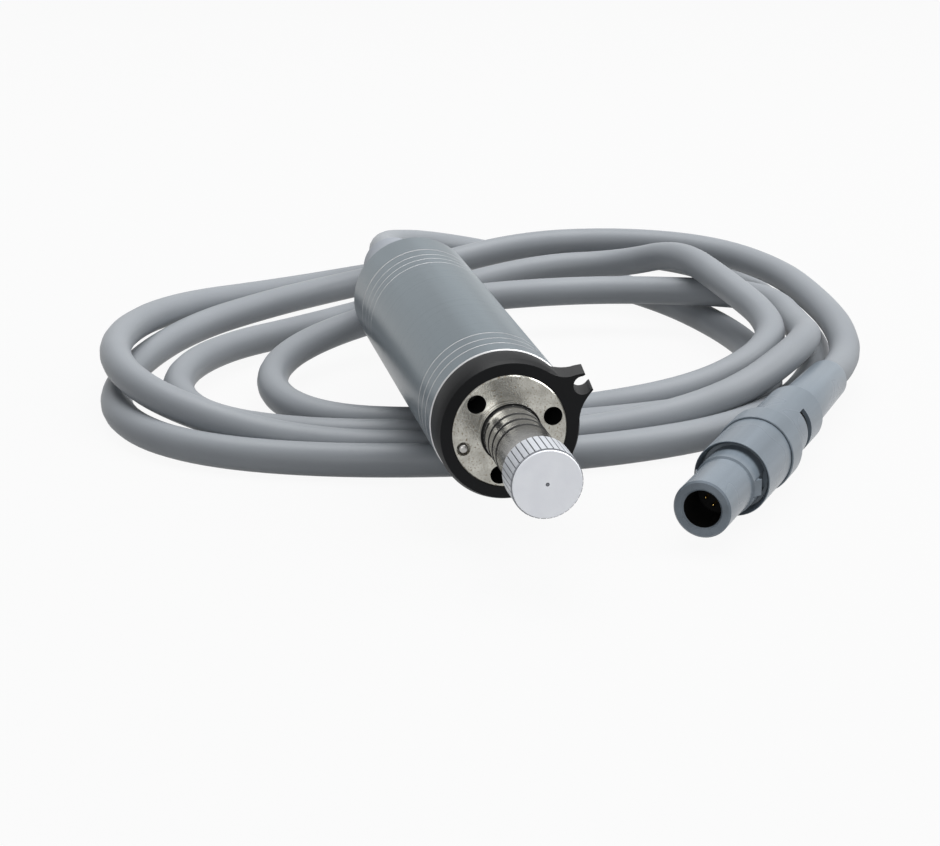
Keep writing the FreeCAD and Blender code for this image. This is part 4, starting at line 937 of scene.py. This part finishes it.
def sector_tool():
    """Wedge from the axis outwards that keeps the nut's slot to one side."""
    bm = bmesh.new()
    arc = [around(SECTOR_R, SECTOR_START + SECTOR_STEP * step) for step in range(SECTOR_STEPS + 1)]
    face = bm.faces.new([bm.verts.new((x, SECTOR_FRONT, z)) for x, z in [(0.0, 0.0)] + arc])
    grown = bmesh.ops.extrude_face_region(bm, geom=[face])
    moved = [item for item in grown["geom"] if isinstance(item, bmesh.types.BMVert)]
    bmesh.ops.translate(bm, vec=(0, SECTOR_DEPTH, 0), verts=moved)
    bmesh.ops.recalc_face_normals(bm, faces=bm.faces[:])
    return bm


def painted_slot_shade(radius, middle):
    """True in the nut's slot, where shade is painted."""
    front, rear = SLOT_FACES
    inner, outer = SLOT_FACES_R
    return front < middle.y < rear and inner < radius < outer


def add_collet_nut():
    nut = turned([(NUT_BORE_R, NUT_START), (NUT_R, NUT_START), (NUT_R, NUT_END - NUT_BEVEL),
                  (NUT_R - NUT_BEVEL, NUT_END), (NUT_BORE_R, NUT_END)])
    ring = turned([(NUT_SLOT_R, NUT_SLOT_START), (NUT_SLOT_OUT_R, NUT_SLOT_START),
                   (NUT_SLOT_OUT_R, NUT_SLOT_END), (NUT_SLOT_R, NUT_SLOT_END)])
    slot = carved(ring, [(sector_tool(), "INTERSECT")])
    bm = carved(nut, [(slot, "DIFFERENCE")])
    # Painted shade in the nut's slot
    paint(bm, 1, painted_slot_shade)
    return finished("collet_nut_shell", bm, "plug", "housing", (BORE_SHADE,), place=PLUG_PLACE)


def add_release_sleeve():
    side = [(RELEASE_BORE_R, RELEASE_MOUTH_END), (RELEASE_R - RELEASE_BEVEL, RELEASE_START),
            (RELEASE_R, RELEASE_START + RELEASE_BEVEL), (RELEASE_R, RELEASE_END),
            (RELEASE_BORE_R, RELEASE_END), (RELEASE_BORE_R, RELEASE_RIB_END),
            (RELEASE_RIB_R, RELEASE_RIB_END), (RELEASE_RIB_R, RELEASE_RIB_START),
            (RELEASE_BORE_R, RELEASE_RIB_START)]
    return finished("release_shell", turned(side), "plug", "release", place=PLUG_PLACE)


def add_rear_body():
    side = [(REAR_BORE_R, REAR_START), (REAR_R - REAR_FRONT_BEVEL, REAR_START),
            (REAR_R, REAR_START + REAR_FRONT_BEVEL), (REAR_R, NUT_START - REAR_SHOULDER_BEVEL),
            (REAR_R - REAR_SHOULDER_BEVEL, NUT_START), (REAR_STEM_R, NUT_START),
            (REAR_STEM_R, REAR_STEM_END), (REAR_THROAT_R, REAR_STEM_END), (REAR_THROAT_R, BARREL_END),
            (REAR_SEAT_R, BARREL_END), (REAR_SEAT_R, BARREL_FLANGE_START),
            (REAR_BORE_R, BARREL_FLANGE_START)]
    return finished("rear_shell", turned(side), "plug", "housing", place=PLUG_PLACE)


def add_bend_relief():
    side = [(RELIEF_BORE_R, RELIEF_START), (RELIEF_R, RELIEF_START), (RELIEF_R, NUT_END)]
    side += [(radius, y) for y, radius in RELIEF_TAPER]
    side.append((RELIEF_BORE_R, RELIEF_END))
    return finished("relief_sleeve", turned(side), "plug", "housing", place=PLUG_PLACE)


def add_plug():
    pieces = {
        "plug_barrel": add_barrel(),
        "plug_release_sleeve": add_release_sleeve(),
        "plug_rear_body": add_rear_body(),
        "plug_collet_nut": add_collet_nut(),
        "plug_bend_relief": add_bend_relief(),
    }
    for node, piece in pieces.items():
        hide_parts(node)
    return list(pieces.values())


add_sleeve()
add_flange()
add_o_rings()
add_lock_spring()
add_cap()
add_clip_ring()
add_boot()
plug_pieces = add_plug()

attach(cable, "housing")
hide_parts(*CABLE_NODES)


# Floor, world and lights

FLOOR_HEIGHT = -17.62
FLOOR_HALF_WIDTH = 3.0
FLOOR_TONE = (0.3, 0.3, 0.3, 1.0)
FLOOR_ROUGHNESS = 0.9
FLOOR_WHITE_SHARE = 0.93
AMBIENT_TONE = (0.92, 0.95, 1.0, 1.0)
AMBIENT_STRENGTH = 0.2


def add_floor():
    bm = bmesh.new()
    bmesh.ops.create_grid(bm, x_segments=2, y_segments=2, size=FLOOR_HALF_WIDTH)
    bmesh.ops.translate(bm, vec=(0, 0, FLOOR_HEIGHT * MM), verts=bm.verts[:])
    mesh = bpy.data.meshes.new("floor")
    bm.to_mesh(mesh)
    bm.free()
    floor = bpy.data.objects.new("floor", mesh)
    scene.collection.objects.link(floor)
    material = bpy.data.materials.new("white_floor")
    material.use_nodes = True
    tree = material.node_tree
    shader = tree.nodes["Principled BSDF"]
    shader.inputs["Base Color"].default_value = FLOOR_TONE
    shader.inputs["Roughness"].default_value = FLOOR_ROUGHNESS
    surface = tree.nodes["Material Output"].inputs["Surface"]
    white_on_sight(tree, shader.outputs["BSDF"], surface, FLOOR_WHITE_SHARE)
    mesh.materials.append(material)


def sight(tree):
    """One on rays from the camera and on reflected or passed rays, else nought."""
    path = tree.nodes.new("ShaderNodeLightPath")
    seen = path.outputs["Is Camera Ray"]
    for label in ("Is Glossy Ray", "Is Transmission Ray"):
        more = tree.nodes.new("ShaderNodeMath")
        more.operation = "MAXIMUM"
        tree.links.new(seen, more.inputs[0])
        tree.links.new(path.outputs[label], more.inputs[1])
        seen = more.outputs["Value"]
    return seen


def white_on_sight(tree, lit, surface, share):
    """Plain white to the camera and to reflections, over the lit surface."""
    seen = sight(tree)
    part = tree.nodes.new("ShaderNodeMath")
    part.operation = "MULTIPLY"
    part.inputs[1].default_value = share
    tree.links.new(seen, part.inputs[0])
    glow = tree.nodes.new("ShaderNodeEmission")
    glow.inputs["Strength"].default_value = 1.0
    mix = tree.nodes.new("ShaderNodeMixShader")
    tree.links.new(part.outputs["Value"], mix.inputs["Fac"])
    tree.links.new(lit, mix.inputs[1])
    tree.links.new(glow.outputs["Emission"], mix.inputs[2])
    tree.links.new(mix.outputs["Shader"], surface)


def add_world():
    world = bpy.data.worlds.new("studio")
    world.use_nodes = True
    tree = world.node_tree
    ambient = tree.nodes["Background"]
    ambient.inputs["Color"].default_value = AMBIENT_TONE
    ambient.inputs["Strength"].default_value = AMBIENT_STRENGTH
    bright = tree.nodes.new("ShaderNodeBackground")
    bright.inputs["Strength"].default_value = 1.0
    mix = tree.nodes.new("ShaderNodeMixShader")
    tree.links.new(sight(tree), mix.inputs["Fac"])
    tree.links.new(ambient.outputs["Background"], mix.inputs[1])
    tree.links.new(bright.outputs["Background"], mix.inputs[2])
    tree.links.new(mix.outputs["Shader"], tree.nodes["World Output"].inputs["Surface"])
    scene.world = world


def add_lamp(name, place, target, size, power):
    """A white area lamp in metres and watts, turned from its place to its target."""
    data = bpy.data.lights.new(name, "AREA")
    data.shape = "RECTANGLE"
    data.size, data.size_y = size
    data.energy = power
    lamp = bpy.data.objects.new(name, data)
    scene.collection.objects.link(lamp)
    lamp.location = place
    lamp.rotation_euler = (Vector(target) - Vector(place)).to_track_quat("-Z", "Y").to_euler()


add_floor()
add_world()
add_lamp("top_light", place=(0.1, 0.2, 0.75), target=(0.0, 0.05, 0.0), size=(0.9, 0.6), power=9.0)
add_lamp("front_light", place=(-0.3, -0.8, 0.3), target=(0.0, 0.03, 0.0), size=(0.4, 0.4), power=1.9)
add_lamp("right_light", place=(0.75, -0.1, 0.5), target=(0.0, 0.03, 0.0), size=(0.4, 0.5), power=4.0)

scene.view_settings.view_transform = "Standard"
